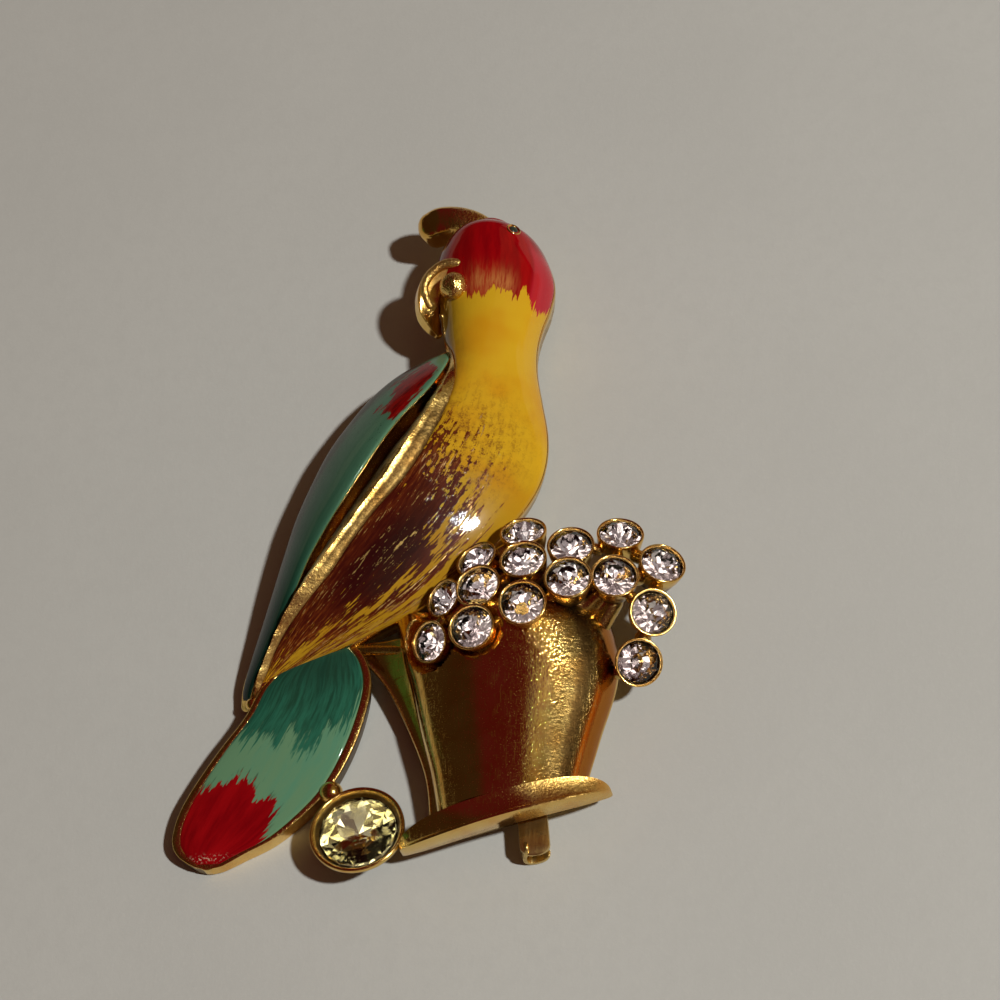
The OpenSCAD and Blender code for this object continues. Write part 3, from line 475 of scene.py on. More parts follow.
def bird_enamel(f):
    """Red head, yellow breast and brushed maroon back, which run into each other in strokes."""
    broad, fine, hair = f.strokes(0.16, 0.85, 2), f.strokes(0.30, 2.3, 5), f.strokes(0.7, 5.5, 9)
    sponge, shade, tip = f.mark("sponge"), f.mark("shade"), f.mark("tip")
    speck = f.noise(4.2, 3, 0.65, 4)
    mottle = f.step(f.total(f.noise(1.3, 4, 0.6, 27), (fine, 0.4)), 0.55, 0.85)
    sponged = f.term((f.step(f.total(speck, (fine, 0.6), (mottle, 0.12)), 0.88, 1.0), sponge))
    yellow = f.layers(
        paint("yellow"), (f.step(f.noise(0.18, 2, seed=6), 0.35, 0.7), tone(206, 148, 24)),
        ((f.mark("low"), 0.65), tone(158, 116, 28)),
        ((mottle, f.total((sponge, 0.42), (shade, 0.3))), tone(136, 92, 26)),
        ((shade, f.step(broad, 0.25, 0.65, 0.85, 0.5)), tone(92, 74, 26)),
        ((sponged, 0.6), tone(116, 66, 24)))
    blotch = f.term((f.maths("SUBTRACT", f.noise(1.5, 3, 0.6, 31), 0.5), sponge))
    brown_at = f.total(f.ragged("brown", (broad, 9.0), (fine, 11.0), (hair, 7.0)), (blotch, 12.0))
    brown_mask = f.step(brown_at, -0.35, 0.45)
    core = f.term((f.mark("core"), f.step(f.total(broad, (fine, 0.5)), 0.5, 0.9, 0.5, 1.0)))
    ochre = f.total((tip, 0.45), f.step(core, 0.0, 0.4, 0.45, 0.0))
    fleck = f.step(f.total(hair, (speck, 0.25), (broad, 0.55)), 1.03, 1.12)
    fleck = f.term((fleck, f.total((tip, 0.5), (brown_mask, 0.5))))
    brown = f.layers(
        tone(70, 20, 10), (f.step(f.total(fine, (hair, 0.8)), 0.72, 1.15), paint("brown")),
        ((f.step(f.total(hair, (broad, 0.5)), 0.74, 0.95), ochre), tone(164, 96, 28)),
        (core, tone(44, 8, 8)), (fleck, paint("gilt")))
    thin = f.step(f.total(fine, (hair, 0.8)), 0.72, 1.05, 0.12, 0.95)
    red = f.layers(
        paint("red"), (f.step(broad, 0.35, 0.65), tone(136, 2, 10)),
        # A painted reflection: lighter crimson on the head's right side
        ((f.mark("crimson"), 0.6), tone(196, 44, 58)), ((f.mark("thin"), thin), tone(188, 116, 62)))
    red_mask = f.step(f.ragged("red", (broad, 2.2), (fine, 3.2), (hair, 1.6)), -0.12, 0.16)
    painted = f.layers(yellow, (brown_mask, brown), (red_mask, red))
    rough = f.total((fine, 0.14), (speck, 0.10), f.step(brown_mask, 0, 1, 0.12, 0.20))
    return enamel(f, painted, rough, f.total(fine, (hair, 0.7), (brown_mask, 0.6)),
                  f.term((fleck, brown_mask)), broken=f.step(f.total(sponge, brown_mask), 0.2, 1.0))


def wing_enamel_finish(f):
    """Seafoam over teal, a red patch at the shoulder and painted shade, a grey-brown, along the outer edge.
    """
    broad, fine, hair = f.strokes(0.14, 0.8, 12), f.strokes(0.28, 2.4, 15), f.strokes(0.6, 5.0, 19)
    far, speck = f.mark("far"), f.noise(5.0, 3, 0.65, 14)
    # Painted shade along the outer edge, where the enamel turns down away from the light and mirrors the
    # shadowed floor
    edge_shade = f.step(f.total(f.mark("outer"), (broad, 0.5), (speck, 0.25)), 0.62, 1.05)
    red = f.layers(tone(140, 10, 8), (f.step(hair, 0.4, 0.7), tone(92, 6, 8)))
    painted = f.layers(
        tone(82, 124, 98), (f.step(f.total(far, (fine, 0.25)), 0.30, 1.0), tone(34, 78, 60)),
        (f.step(f.total(far, (broad, 0.3)), 0.80, 1.15), tone(12, 38, 32)),
        ((f.mark("shoulder"), 0.85), paint("seafoam")), ((edge_shade, 0.85), tone(72, 60, 52)),
        ((f.step(f.total(speck, (hair, 0.4)), 0.82, 0.90), f.mark("specks")), tone(24, 30, 26)),
        (f.step(f.ragged("red", (fine, 3.0), (hair, 1.6)), -0.1, 0.15), red))
    rough = f.total((fine, 0.16), (edge_shade, 0.2), (speck, 0.1), 0.12)
    return enamel(f, painted, rough, f.total(fine, (hair, 0.6)), gloss=0.42)


def tail_enamel_finish(f):
    """Dark green strokes over seafoam, and a red end whose brushed edge is ragged."""
    broad, fine, hair = f.strokes(0.12, 0.7, 31), f.strokes(0.22, 2.0, 35), f.strokes(0.45, 4.4, 39)
    speck = f.noise(4.5, 3, 0.6, 24)
    green = f.layers(
        paint("green"), (f.step(f.total(fine, (hair, 0.6)), 0.6, 1.0), tone(34, 104, 82)),
        (f.step(f.mark("green"), 2.0, 8.0, 0.0, 0.7), tone(6, 48, 38)))
    green_at = f.ragged("green", (broad, 8.0), (fine, 10.0), (hair, 5.0))
    red_at = f.ragged("red", (fine, 3.6), (broad, 2.0), (hair, 2.6))
    red = f.layers(tone(158, 10, 16), (f.step(broad, 0.35, 0.7), tone(122, 2, 10)))
    painted = f.layers(
        paint("seafoam"), (f.step(broad, 0.4, 0.7), tone(92, 146, 116)),
        (f.step(green_at, -0.5, 0.9, 0.0, 0.92), green),
        ((f.step(red_at, -0.7, 0.0), f.step(hair, 0.5, 0.62, 0.0, 0.6)), tone(40, 62, 48)),
        (f.step(red_at, -0.1, 0.12), red),
        ((f.step(speck, 0.56, 0.62), f.mark("worn")), tone(206, 176, 150)))
    return enamel(f, painted, f.total((fine, 0.18), (speck, 0.10), 0.12), f.total(fine, (hair, 0.6)))


def stone_glass(f, tint):
    """Clear cut glass with the faintest smudges."""
    smudge = f.step(f.noise(1.4, seed=41), 0.5, 0.8, 0.0, 0.025)
    return f.surface(Base_Color=tint, Transmission_Weight=1.0, IOR=1.56, Roughness=smudge)


def stone_foil(f, tint, second):
    """Mirror foil on the back of a stone, with faint colour drift."""
    drift = f.noise(0.7, 2, seed=45)
    colour = f.layers(tint, (f.step(drift, 0.35, 0.7), second))
    return f.surface(Base_Color=colour, Metallic=1.0, Roughness=f.step(drift, 0.2, 0.8, 0.03, 0.08))


def dark_bead(f):
    grain = f.noise(3.0, 2, seed=51)
    return f.surface(Base_Color=f.layers(tone(6, 14, 8), (grain, tone(30, 42, 22))),
                     Roughness=f.step(grain, 0.2, 0.8, 0.06, 0.16), Coat_Weight=0.6, Coat_Roughness=0.03)


def plated_wire(f):
    """Drawn and stamped metal: brushed along its length, with dull spots."""
    brushed = f.noise(1.2, seed=61, stretch=(5.0, 0.35, 5.0))
    dull = f.step(f.noise(0.8, seed=63), 0.5, 0.75)
    rough = f.total((brushed, 0.2), f.step(dull, 0, 1, 0.22, 0.36))
    return f.surface(Base_Color=f.layers(tone(214, 186, 120), (dull, tone(150, 118, 66))), Metallic=1.0,
                     Roughness=rough, Normal=f.bump(brushed, 0.25, 0.03))


def paper(f):
    """Pale matt paper with faint mottling and fibres."""
    pale = paint("paper")
    cloudy, mottled, fibre = f.noise(0.035, seed=71), f.noise(0.55, 4, 0.65, 73), f.noise(2.4, 3, 0.7, 75)
    colour = f.layers(
        pale, (f.step(cloudy, 0.35, 0.7), tuple(x * 0.965 for x in pale)),
        (f.step(mottled, 0.4, 0.7, 0.0, 0.5), tuple(x * 0.95 for x in pale)),
        (f.step(fibre, 0.5, 0.75, 0.0, 0.35), tuple(min(x * 1.06, 1) for x in pale)))
    return f.surface(Base_Color=colour, Roughness=0.72, Specular_IOR_Level=0.3,
                     Normal=f.bump(f.total(mottled, (fibre, 0.5)), 0.25, 0.12))


class Shape:
    """Points, faces and marks of a piece, gathered from its parts in millimetres."""

    def __init__(self):
        self.points, self.faces, self.finishes, self.marks, self.normals, self.count = [], [], [], {}, [], 0

    def add(self, points, faces, which=0, marks=None, normals=None):
        """Adds a part; which is the number of its finish, or a list of one for each face."""
        points = np.asarray(points, float).reshape(-1, 3)
        self.faces += [[k + self.count for k in face] for face in faces]
        self.finishes += which if isinstance(which, list) else [which] * len(faces)
        self.points.append(points)
        for name, values in (marks or {}).items():
            values = np.full(len(points), values) if np.isscalar(values) else np.asarray(values, float)
            self.marks.setdefault(name, []).append((self.count, values))
        if normals is not None:
            self.normals.append((self.count, normals))
        self.count += len(points)
        return self

    def mesh(self, name):
        made = bpy.data.meshes.new(name)
        made.from_pydata(((np.vstack(self.points) + MIDDLE) * MM).tolist(), [], self.faces)
        made.polygons.foreach_set("material_index", self.finishes)
        for mark, blocks in self.marks.items():
            wide = blocks[0][1].reshape(len(blocks[0][1]), -1).shape[1]
            values = np.zeros((self.count, wide))
            for start, block in blocks:
                values[start:start + len(block)] = block.reshape(len(block), -1)
            kind, key = ("FLOAT_VECTOR", "vector") if wide == 3 else ("FLOAT", "value")
            made.attributes.new(mark, kind, "POINT").data.foreach_set(key, values.astype(np.float32).ravel())
        work = bmesh.new()
        work.from_mesh(made)
        bmesh.ops.recalc_face_normals(work, faces=work.faces)
        work.to_mesh(made)
        work.free()
        return made


def as_piece(shape, name, finishes, node, sharp=38.0, flat=False):
    """Turns a shape or a mesh into an object that rides on the brooch and stands for its solid."""
    made = shape if isinstance(shape, bpy.types.Mesh) else shape.mesh(name)
    for material in finishes:
        made.materials.append(material)
    made.polygons.foreach_set("use_smooth", [not flat] * len(made.polygons))
    if not flat:
        made.set_sharp_from_angle(angle=math.radians(sharp))
    if isinstance(shape, Shape) and shape.normals:
        normals = np.zeros((len(made.vertices), 3))
        for start, block in shape.normals:
            normals[start:start + len(block)] = block
        made.normals_split_custom_set_from_vertices(normals.tolist())
    piece = bpy.data.objects.new(name, made)
    bpy.context.scene.collection.objects.link(piece)
    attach(piece, "root")
    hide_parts(node)


def gilt_piece(name, solid, gilt, marks=None, sharp=38.0):
    """A piece of gilt metal that stands for the casting; solid is its points and faces, a shape or a mesh."""
    shape = Shape().add(*solid, marks=marks) if isinstance(solid, tuple) else solid
    as_piece(shape, name, [gilt], "casting", sharp)


def unit(vectors):
    vectors = np.asarray(vectors, float)
    return vectors / np.maximum(np.linalg.norm(vectors, axis=-1, keepdims=True), 1e-12)


def hump(values, middle, width):
    return np.exp(-(((values - middle) / width) ** 2))


def ramp(values, start, run):
    """Rises from 0 at start to 1 over a run, which is negative where it falls."""
    return np.clip((values - start) / run, 0, 1)


def resample(rows, positions):
    """Rows of a table at the given positions, on a smooth curve through all of its rows."""
    rows = np.asarray(rows, float)
    padded = np.vstack([2 * rows[0] - rows[1], rows, 2 * rows[-1] - rows[-2]])
    positions = np.clip(np.asarray(positions, float), 0, len(rows) - 1)
    i = np.minimum(positions.astype(int), len(rows) - 2)
    s = (positions - i)[:, None]
    a, b, c, d = (padded[i + k] for k in range(4))
    return 0.5 * (2 * b + (c - a) * s + (2 * a - 5 * b + 4 * c - d) * s**2 + (3 * b - a - 3 * c + d) * s**3)


def tenths(table):
    """Places along a table, ten from each row to the next."""
    return np.linspace(0, len(table) - 1, (len(table) - 1) * 10 + 1)


def dome(rows, t, lift=0.0, lean=0.0):
    """Points on the domes of the rows; t runs from 0 at the left edge to 1 at the right edge."""
    a, b = rows[:, None, LEFT], rows[:, None, RIGHT]
    t = np.broadcast_to(t, (len(rows), np.shape(t)[-1]))
    lift = np.broadcast_to(lift, t.shape)[..., None]
    turn = (math.pi * t)[..., None]
    leaning = (math.pi * (t + np.reshape(lean, (-1, 1)) * np.sin(math.pi * t)))[..., None]
    up = np.array([0.0, 0.0, 1.0])
    return (a + (b - a) * (1 - np.cos(turn)) / 2 - unit(b - a) * lift * np.cos(turn)
            + up * (rows[:, None, RISE:RISE + 1] * np.sin(leaning) + lift * np.sin(turn)))


def rows_at(table, u):
    """Rows of a table; below zero they close into the rounded nose before its first row."""
    rows = resample(table, u)
    beyond = np.clip(-np.asarray(u, float), 0, 0.98)[:, None]
    first = (table[0, LEFT] + table[0, RIGHT]) / 2
    outward = unit(first - (table[1, LEFT] + table[1, RIGHT]) / 2)
    shrink = np.sqrt(1 - beyond**2)
    for side in (LEFT, RIGHT):
        nose = first + (rows[:, side] - first) * shrink + outward * CROWN_NOSE * beyond
        rows[:, side] = np.where(beyond > 0, nose, rows[:, side])
    rows[:, RISE:RISE + 1] *= shrink
    return rows


def lean_at(table, u):
    return np.interp(u, *LEAN.T) if table is BODY else np.zeros(len(u))


def grid_faces(n, m, start=0, closed=False):
    wide = m if closed else m - 1
    return [[start + i * m + j, start + i * m + (j + 1) % m,
             start + (i + 1) * m + (j + 1) % m, start + (i + 1) * m + j]
            for i in range(n - 1) for j in range(wide)]


def round_end(rings, length):
    """Rings that carry a loft's first ring on into a rounded nose."""
    ring, middle = rings[0], rings[0].mean(0)
    outward = unit(middle - rings[1].mean(0))
    turns = np.radians(np.linspace(84, 90 / (NOSE_RINGS + 1), NOSE_RINGS))
    return np.array([middle + (ring - middle) * math.cos(a) + outward * length * math.sin(a) for a in turns])


def loft(rings, start=0.0, end=0.0):
    """Points and faces of a solid through closed rings, with a flat or rounded cap at each end."""
    rings = np.asarray(rings)
    if start:
        rings = np.concatenate([round_end(rings, start), rings])
    if end:
        rings = np.concatenate([rings, round_end(rings[::-1], end)[::-1]])
    n, m = rings.shape[:2]
    points = np.vstack([rings.reshape(-1, 3), rings[0].mean(0), rings[-1].mean(0)])
    faces = grid_faces(n, m, closed=True)
    faces += [[n * m, (j + 1) % m, j] for j in range(m)]
    faces += [[n * m + 1, (n - 1) * m + j, (n - 1) * m + (j + 1) % m] for j in range(m)]
    return points, faces


def ring_marks(values, nose=None):
    """A mark for each point of a loft with rounded ends, which take nose or the values of the ring beside."""
    ends = ((NOSE_RINGS, NOSE_RINGS), (0, 0))
    padded = np.pad(values, ends, mode="edge") if nose is None else np.pad(values, ends, constant_values=nose)
    return np.append(padded, [0, 0])


def walls(rows, edge, side, under_z):
    """Points down a section's side wall and round its lower corner, from the edge of its dome."""
    inward = (rows[:, RIGHT] - rows[:, LEFT]) * (WALL_LEAN if side is LEFT else -WALL_LEAN)
    under = np.column_stack([(rows[:, side] + inward)[:, :2], rows[:, under_z]])
    drop = edge - under
    down = [under + drop * (1 - s) + unit(inward) * WALL_BULGE * max(s - 0.6, 0) for s in WALL_STEPS]
    foot = under + np.column_stack([unit(inward)[:, :2] * WALL_FOOT, np.zeros(len(rows))])
    return np.stack(down + [foot], 1)


def closed_sections(rows, t, lift, lean=0.0):
    """Closed rings of a form: its dome, the right wall, the underside and the left wall."""
    top = dome(rows, t, lift, lean)
    right, left = walls(rows, top[:, -1], RIGHT, UNDER_RIGHT), walls(rows, top[:, 0], LEFT, UNDER_LEFT)
    return np.concatenate([top, right, left[:, ::-1]], 1)


def positions(first, last, per_row, *crossings):
    """Places along a table, close together, with a pair of them round each crossing."""
    extra = [x + shift for x in crossings for shift in (-0.02, 0.02)]
    even = np.linspace(first, last, round((last - first) * per_row) + 1)
    return np.unique(np.clip(np.concatenate([even, extra]), first, last))


def ledge(u, rows, rim):
    """Places across the body's gilt strip, and their rise: a wall, a ridge and a tilted ledge."""
    (start, full), (fading, end) = LEDGE_FIRST, LEDGE_LAST
    share = ramp(u, start, full - start) * ramp(u, end, fading - end)
    share = (share**2 * (3 - 2 * share))[:, None]
    ridge_at = np.interp(u, *LEDGE_RIDGE.T)[:, None]
    bent = np.where(rim < 0.5, rim * 2 * ridge_at, ridge_at + (rim * 2 - 1) * (1 - ridge_at))
    rim = rim * (1 - share) + bent * share
    wide = np.linalg.norm(rows[:, RIGHT] - rows[:, LEFT], axis=1)[:, None]
    turn = math.pi * rows[:, COAT_FROM][:, None]
    x, z = wide * (1 - np.cos(turn * rim)) / 2, rows[:, RISE][:, None] * np.sin(turn * rim)
    ridge_x = wide * (1 - np.cos(turn * ridge_at)) / 2
    wave = 0.05 * np.sin(u * 9.0)[:, None] + 0.03 * np.sin(u * 23.0)[:, None]
    top = z[:, -1:] + LEDGE_RISE + wave
    climb = top * np.clip(x / ridge_x, 0, 1) ** 0.45
    fall = top - (top - z[:, -1:]) * np.clip((x - ridge_x) / (x[:, -1:] - ridge_x), 0, 1)
    return rim, (np.where(x < ridge_x, climb, fall) - z) * share, share


def form_with_pocket(table, coat, rim_left, rim_right, ends, per_row=8, across=44, first=0.0):
    """A metal form whose dome sinks where its enamel lies; rim_left and rim_right shape its rims."""
    u = positions(first, len(table) - 1.0, per_row, *coat)
    rows = rows_at(table, u)
    rim = np.linspace(0, 1, RIM_POINTS)
    start, stop = rows[:, COAT_FROM][:, None], rows[:, COAT_TO][:, None]
    inner = start + POCKET_GAP + (stop - start - 2 * POCKET_GAP) * np.linspace(0, 1, across)
    left, raised = rim[None] * np.ones((len(u), 1)), 0.0
    lifts = rim_left(left)
    if table is BODY:
        left, raised, share = ledge(u, rows, left)
        lifts = lifts * (1 - share)
    t = np.hstack([start * left, inner, stop + (1 - stop) * rim])
    inside = ((u > coat[0] + 0.01) & (u < coat[1] - 0.01))[:, None]
    sunk = np.where(inside, -size("sink"), 0.0) * np.ones((1, across))
    lift = np.hstack([lifts, sunk, rim_right(rim)[None] * np.ones((len(u), 1))])
    rings = closed_sections(rows, t, lift, lean_at(table, u))
    rings[:, :RIM_POINTS, 2] += raised
    return u, t, rings, loft(rings, *ends)


def bead(height):
    """Profile of a rim that is rounded like half a wire."""
    return lambda s: height * np.sin(math.pi * np.clip(s, 0, 1))


def along_form(table, u):
    """Millimetres along the middle of a form at the given rows."""
    middle = (table[:, LEFT] + table[:, RIGHT]) / 2
    run = np.concatenate([[0], np.cumsum(np.linalg.norm(np.diff(middle, axis=0), axis=1))])
    return np.interp(u, np.arange(len(table)), run)


class Coat:
    """An enamel coat on a form: a grid of rows u and shares t, and its outer and inner points on it."""

    def __init__(self, table, first, last, per_row, wide, across=64, round_start=True):
        u = np.linspace(first, last, round((last - first) * per_row) + 1)
        rows, lean = rows_at(table, u), lean_at(table, u)
        share = np.linspace(0, 1, across)
        share -= 0.03 * np.sin(2 * math.pi * share)
        start, stop = rows[:, COAT_FROM][:, None], rows[:, COAT_TO][:, None]
        self.t = t = start + (stop - start) * share
        self.u = np.broadcast_to(u[:, None], t.shape)
        steps = np.linalg.norm(np.diff(dome(rows, t, 0.0, lean), axis=1), axis=2)
        self.width = np.concatenate([np.zeros((len(u), 1)), np.cumsum(steps, 1)], 1)
        distance = np.minimum(self.width, self.width[:, -1:] - self.width)
        run = along_form(table, u)[:, None]
        if round_start:
            distance = np.minimum(distance, run - run[0])
        distance = np.minimum(distance, run[-1] - run)
        fall = (1 - np.clip(distance / COAT_SOFT, 0, 1)) ** 2
        self.top = dome(rows, t, size("proud") - fall * (size("proud") + COAT_TUCK), lean)
        self.bottom = dome(rows, t, COAT_OVER_METAL - size("sink"), lean)
        self.marks = {"flow": np.stack([np.broadcast_to(run, t.shape), t * wide, np.zeros(t.shape)], -1)}
        self.normals = unit(np.cross(np.gradient(self.top, axis=1), -np.gradient(self.top, axis=0)))

    def piece(self, name, material, slot, keep=slice(None)):
        """The coat's piece from the rows to keep: its outer and inner grids, joined all round."""
        top, bottom, normals = (grid[keep].reshape(-1, 3) for grid in (self.top, self.bottom, self.normals))
        n, m = self.t[keep].shape
        half = n * m
        faces = grid_faces(n, m) + grid_faces(n, m, half)
        for i in range(n - 1):
            for j in (0, m - 1):
                faces.append([i * m + j, (i + 1) * m + j, half + (i + 1) * m + j, half + i * m + j])
        for j in range(m - 1):
            for i in (0, n - 1):
                faces.append([i * m + j, i * m + j + 1, half + i * m + j + 1, half + i * m + j])
        marks = {key: np.tile(values[keep].reshape(half, -1), (2, 1)) for key, values in self.marks.items()}
        shape = Shape().add(np.vstack([top, bottom]), faces, 0, marks, np.vstack([normals, -normals]))
        as_piece(shape, name + "_coat", [material], name, sharp=180)


def around(sides):
    return np.linspace(0, 2 * math.pi, sides, endpoint=False)


def spun(profile, sides):
    """Rings of a profile of radius and height, turned about Z."""
    return np.array([[[r * math.cos(a), r * math.sin(a), z] for a in around(sides)] for r, z in profile])


def facing(way):
    """Rotation that turns +Z to the given direction with no twist about it."""
    x, y, z = unit(way)
    tilt, turn = math.acos(z), math.atan2(y, x)
    turned = Matrix.Rotation(turn, 3, "Z") @ Matrix.Rotation(tilt, 3, "Y") @ Matrix.Rotation(-turn, 3, "Z")
    return np.array(turned)


def placed(points, at, way):
    return np.asarray(points, float) @ facing(way).T + np.asarray(at, float)


def lathe(profile, sides, wobble=0.0, seed=1):
    """A closed profile of radius and height turned about Z into a ring, with a slight cast wobble."""
    r, z = np.asarray(profile, float).T
    angles = around(sides)
    draw = np.random.default_rng(seed)
    ripple = sum(wobble * draw.normal() * np.cos(k * angles + draw.uniform(0, 6.3)) / k for k in (2, 3, 5))
    radius = r + ripple[:, None]
    points = np.stack([radius * np.cos(angles)[:, None], radius * np.sin(angles)[:, None],
                       z * np.ones((sides, 1))], -1)
    m = len(r)
    faces = [[i * m + j, i * m + (j + 1) % m, ((i + 1) % sides) * m + (j + 1) % m, ((i + 1) % sides) * m + j]
             for i in range(sides) for j in range(m)]
    return points.reshape(-1, 3), faces


def bar(path, sides, section=None, up=(0, 0, 1), thick=1.0):
    """A smooth bar with rounded ends along rows of x, y, z and radius; section gives each angle's factor."""
    rows = resample(path, tenths(path))
    points, radii = rows[:, :3], rows[:, 3] * thick
    tangent = unit(np.gradient(points, axis=0))
    side = unit(np.cross(tangent, np.asarray(up, float)))
    over = np.cross(side, tangent)
    angles = around(sides)
    reach = radii[:, None] * (np.ones(sides) if section is None else section(angles))
    rings = (points[:, None] + side[:, None] * (reach * np.cos(angles))[..., None]
             + over[:, None] * (reach * np.sin(angles))[..., None])
    return loft(rings, radii[0] * 0.9, radii[-1] * 0.9)


def rounded_sides(sides, hardness):
    """Section with flat sides and soft corners; each side has its direction in degrees and its distance."""
    def section(angles):
        away = [(angles - math.radians(way) + math.pi) % (2 * math.pi) - math.pi for way, far in sides]
        reach = [np.clip(np.cos(angle), 0, None) / far for angle, (way, far) in zip(away, sides)]
        return np.sum(np.power(reach, hardness), axis=0) ** (-1 / hardness)
    return section


def rod(a, ra, b, rb, sides=20):
    """A rod with a ball at each end."""
    a, b = np.asarray(a, float), np.asarray(b, float)
    axis = unit(b - a)
    side = unit(np.cross(axis, (0.3, 0.1, 1.0)))
    over = np.cross(axis, side)
    circle = side * np.cos(around(sides))[:, None] + over * np.sin(around(sides))[:, None]
    turns = np.radians(np.linspace(-80, 80, 12))
    rings = []
    for turn in turns:
        at, r = (a, ra) if turn < 0 else (b, rb)
        rings.append(at + axis * r * math.sin(turn) + circle * r * math.cos(turn))
    return loft(rings)


def ball(at, r, sides=32):
    turns = np.radians(np.linspace(-86, 86, sides // 2 + 1))
    return loft(spun([(r * math.cos(b), r * math.sin(b)) for b in turns], sides) + at)


def melted(shape, name, voxel, smoothing):
    """Joins overlapping solids into one skin with soft fillets, as solder leaves it."""
    work = bpy.data.objects.new(name + "_work", shape.mesh(name + "_work"))
    bpy.context.scene.collection.objects.link(work)
    remesh = work.modifiers.new("skin", "REMESH")
    remesh.mode, remesh.voxel_size = "VOXEL", voxel * MM
    smooth = work.modifiers.new("solder", "SMOOTH")
    smooth.factor, smooth.iterations = 0.5, smoothing
    made = bpy.data.meshes.new_from_object(work.evaluated_get(bpy.context.evaluated_depsgraph_get()))
    bpy.data.objects.remove(work)
    made.name = name
    return made


def cut_stone(r, table, crown, girdle, pavilion, star, keel):
    """Points and faces of a cut stone, its girdle's upper edge at the origin, and a finish for each face."""
    eighths, sixteenths = np.arange(8) * math.pi / 4, np.arange(16) * math.pi / 8
    halves, spoke = eighths + math.pi / 8, math.cos(math.pi / 8)

    def ring(radius, angles, z):
        return np.column_stack([radius * np.cos(angles), radius * np.sin(angles), np.full(len(angles), z)])

    z_star = crown * r * (1 - star * spoke) / (1 - table)
    z_keel = -girdle * r - (pavilion - girdle) * r * (1 - keel * spoke)
    points = np.vstack([
        ring(table * r, eighths, crown * r), ring(star * r, halves, z_star), ring(r, sixteenths, 0.0),
        ring(r, sixteenths, -girdle * r), ring(keel * r, halves, z_keel), [[0, 0, -pavilion * r]]])
    mid, rim, low, under, tip = 8, 16, 32, 48, 56
    faces, foiled = [list(range(8))], [0]
    for i in range(8):
        j, before = (i + 1) % 8, (i - 1) % 8
        g, h, k = 2 * i, 2 * i + 1, (2 * i + 2) % 16
        faces += [[i, j, mid + i], [i, mid + i, rim + g, mid + before],
                  [mid + i, rim + g, rim + h], [mid + i, rim + h, rim + k],
                  [rim + g, rim + h, low + h, low + g], [rim + h, rim + k, low + k, low + h],
                  [low + g, low + h, under + i], [low + h, low + k, under + i],
                  [low + g, under + i, tip, under + before]]
        foiled += [0] * 6 + [1] * 3
    return points, faces, foiled


def add_cup(shape, profile, shade_film, sides, seed, at, way, scale=1.0):
    """Adds a stone's cup to a shape, with the painted shade given for each point of its profile."""
    points, faces = lathe(profile, sides, CUP_WOBBLE, seed)
    shape.add(placed(points * scale, at, way), faces, marks={"hollow": np.tile(shade_film, sides)})


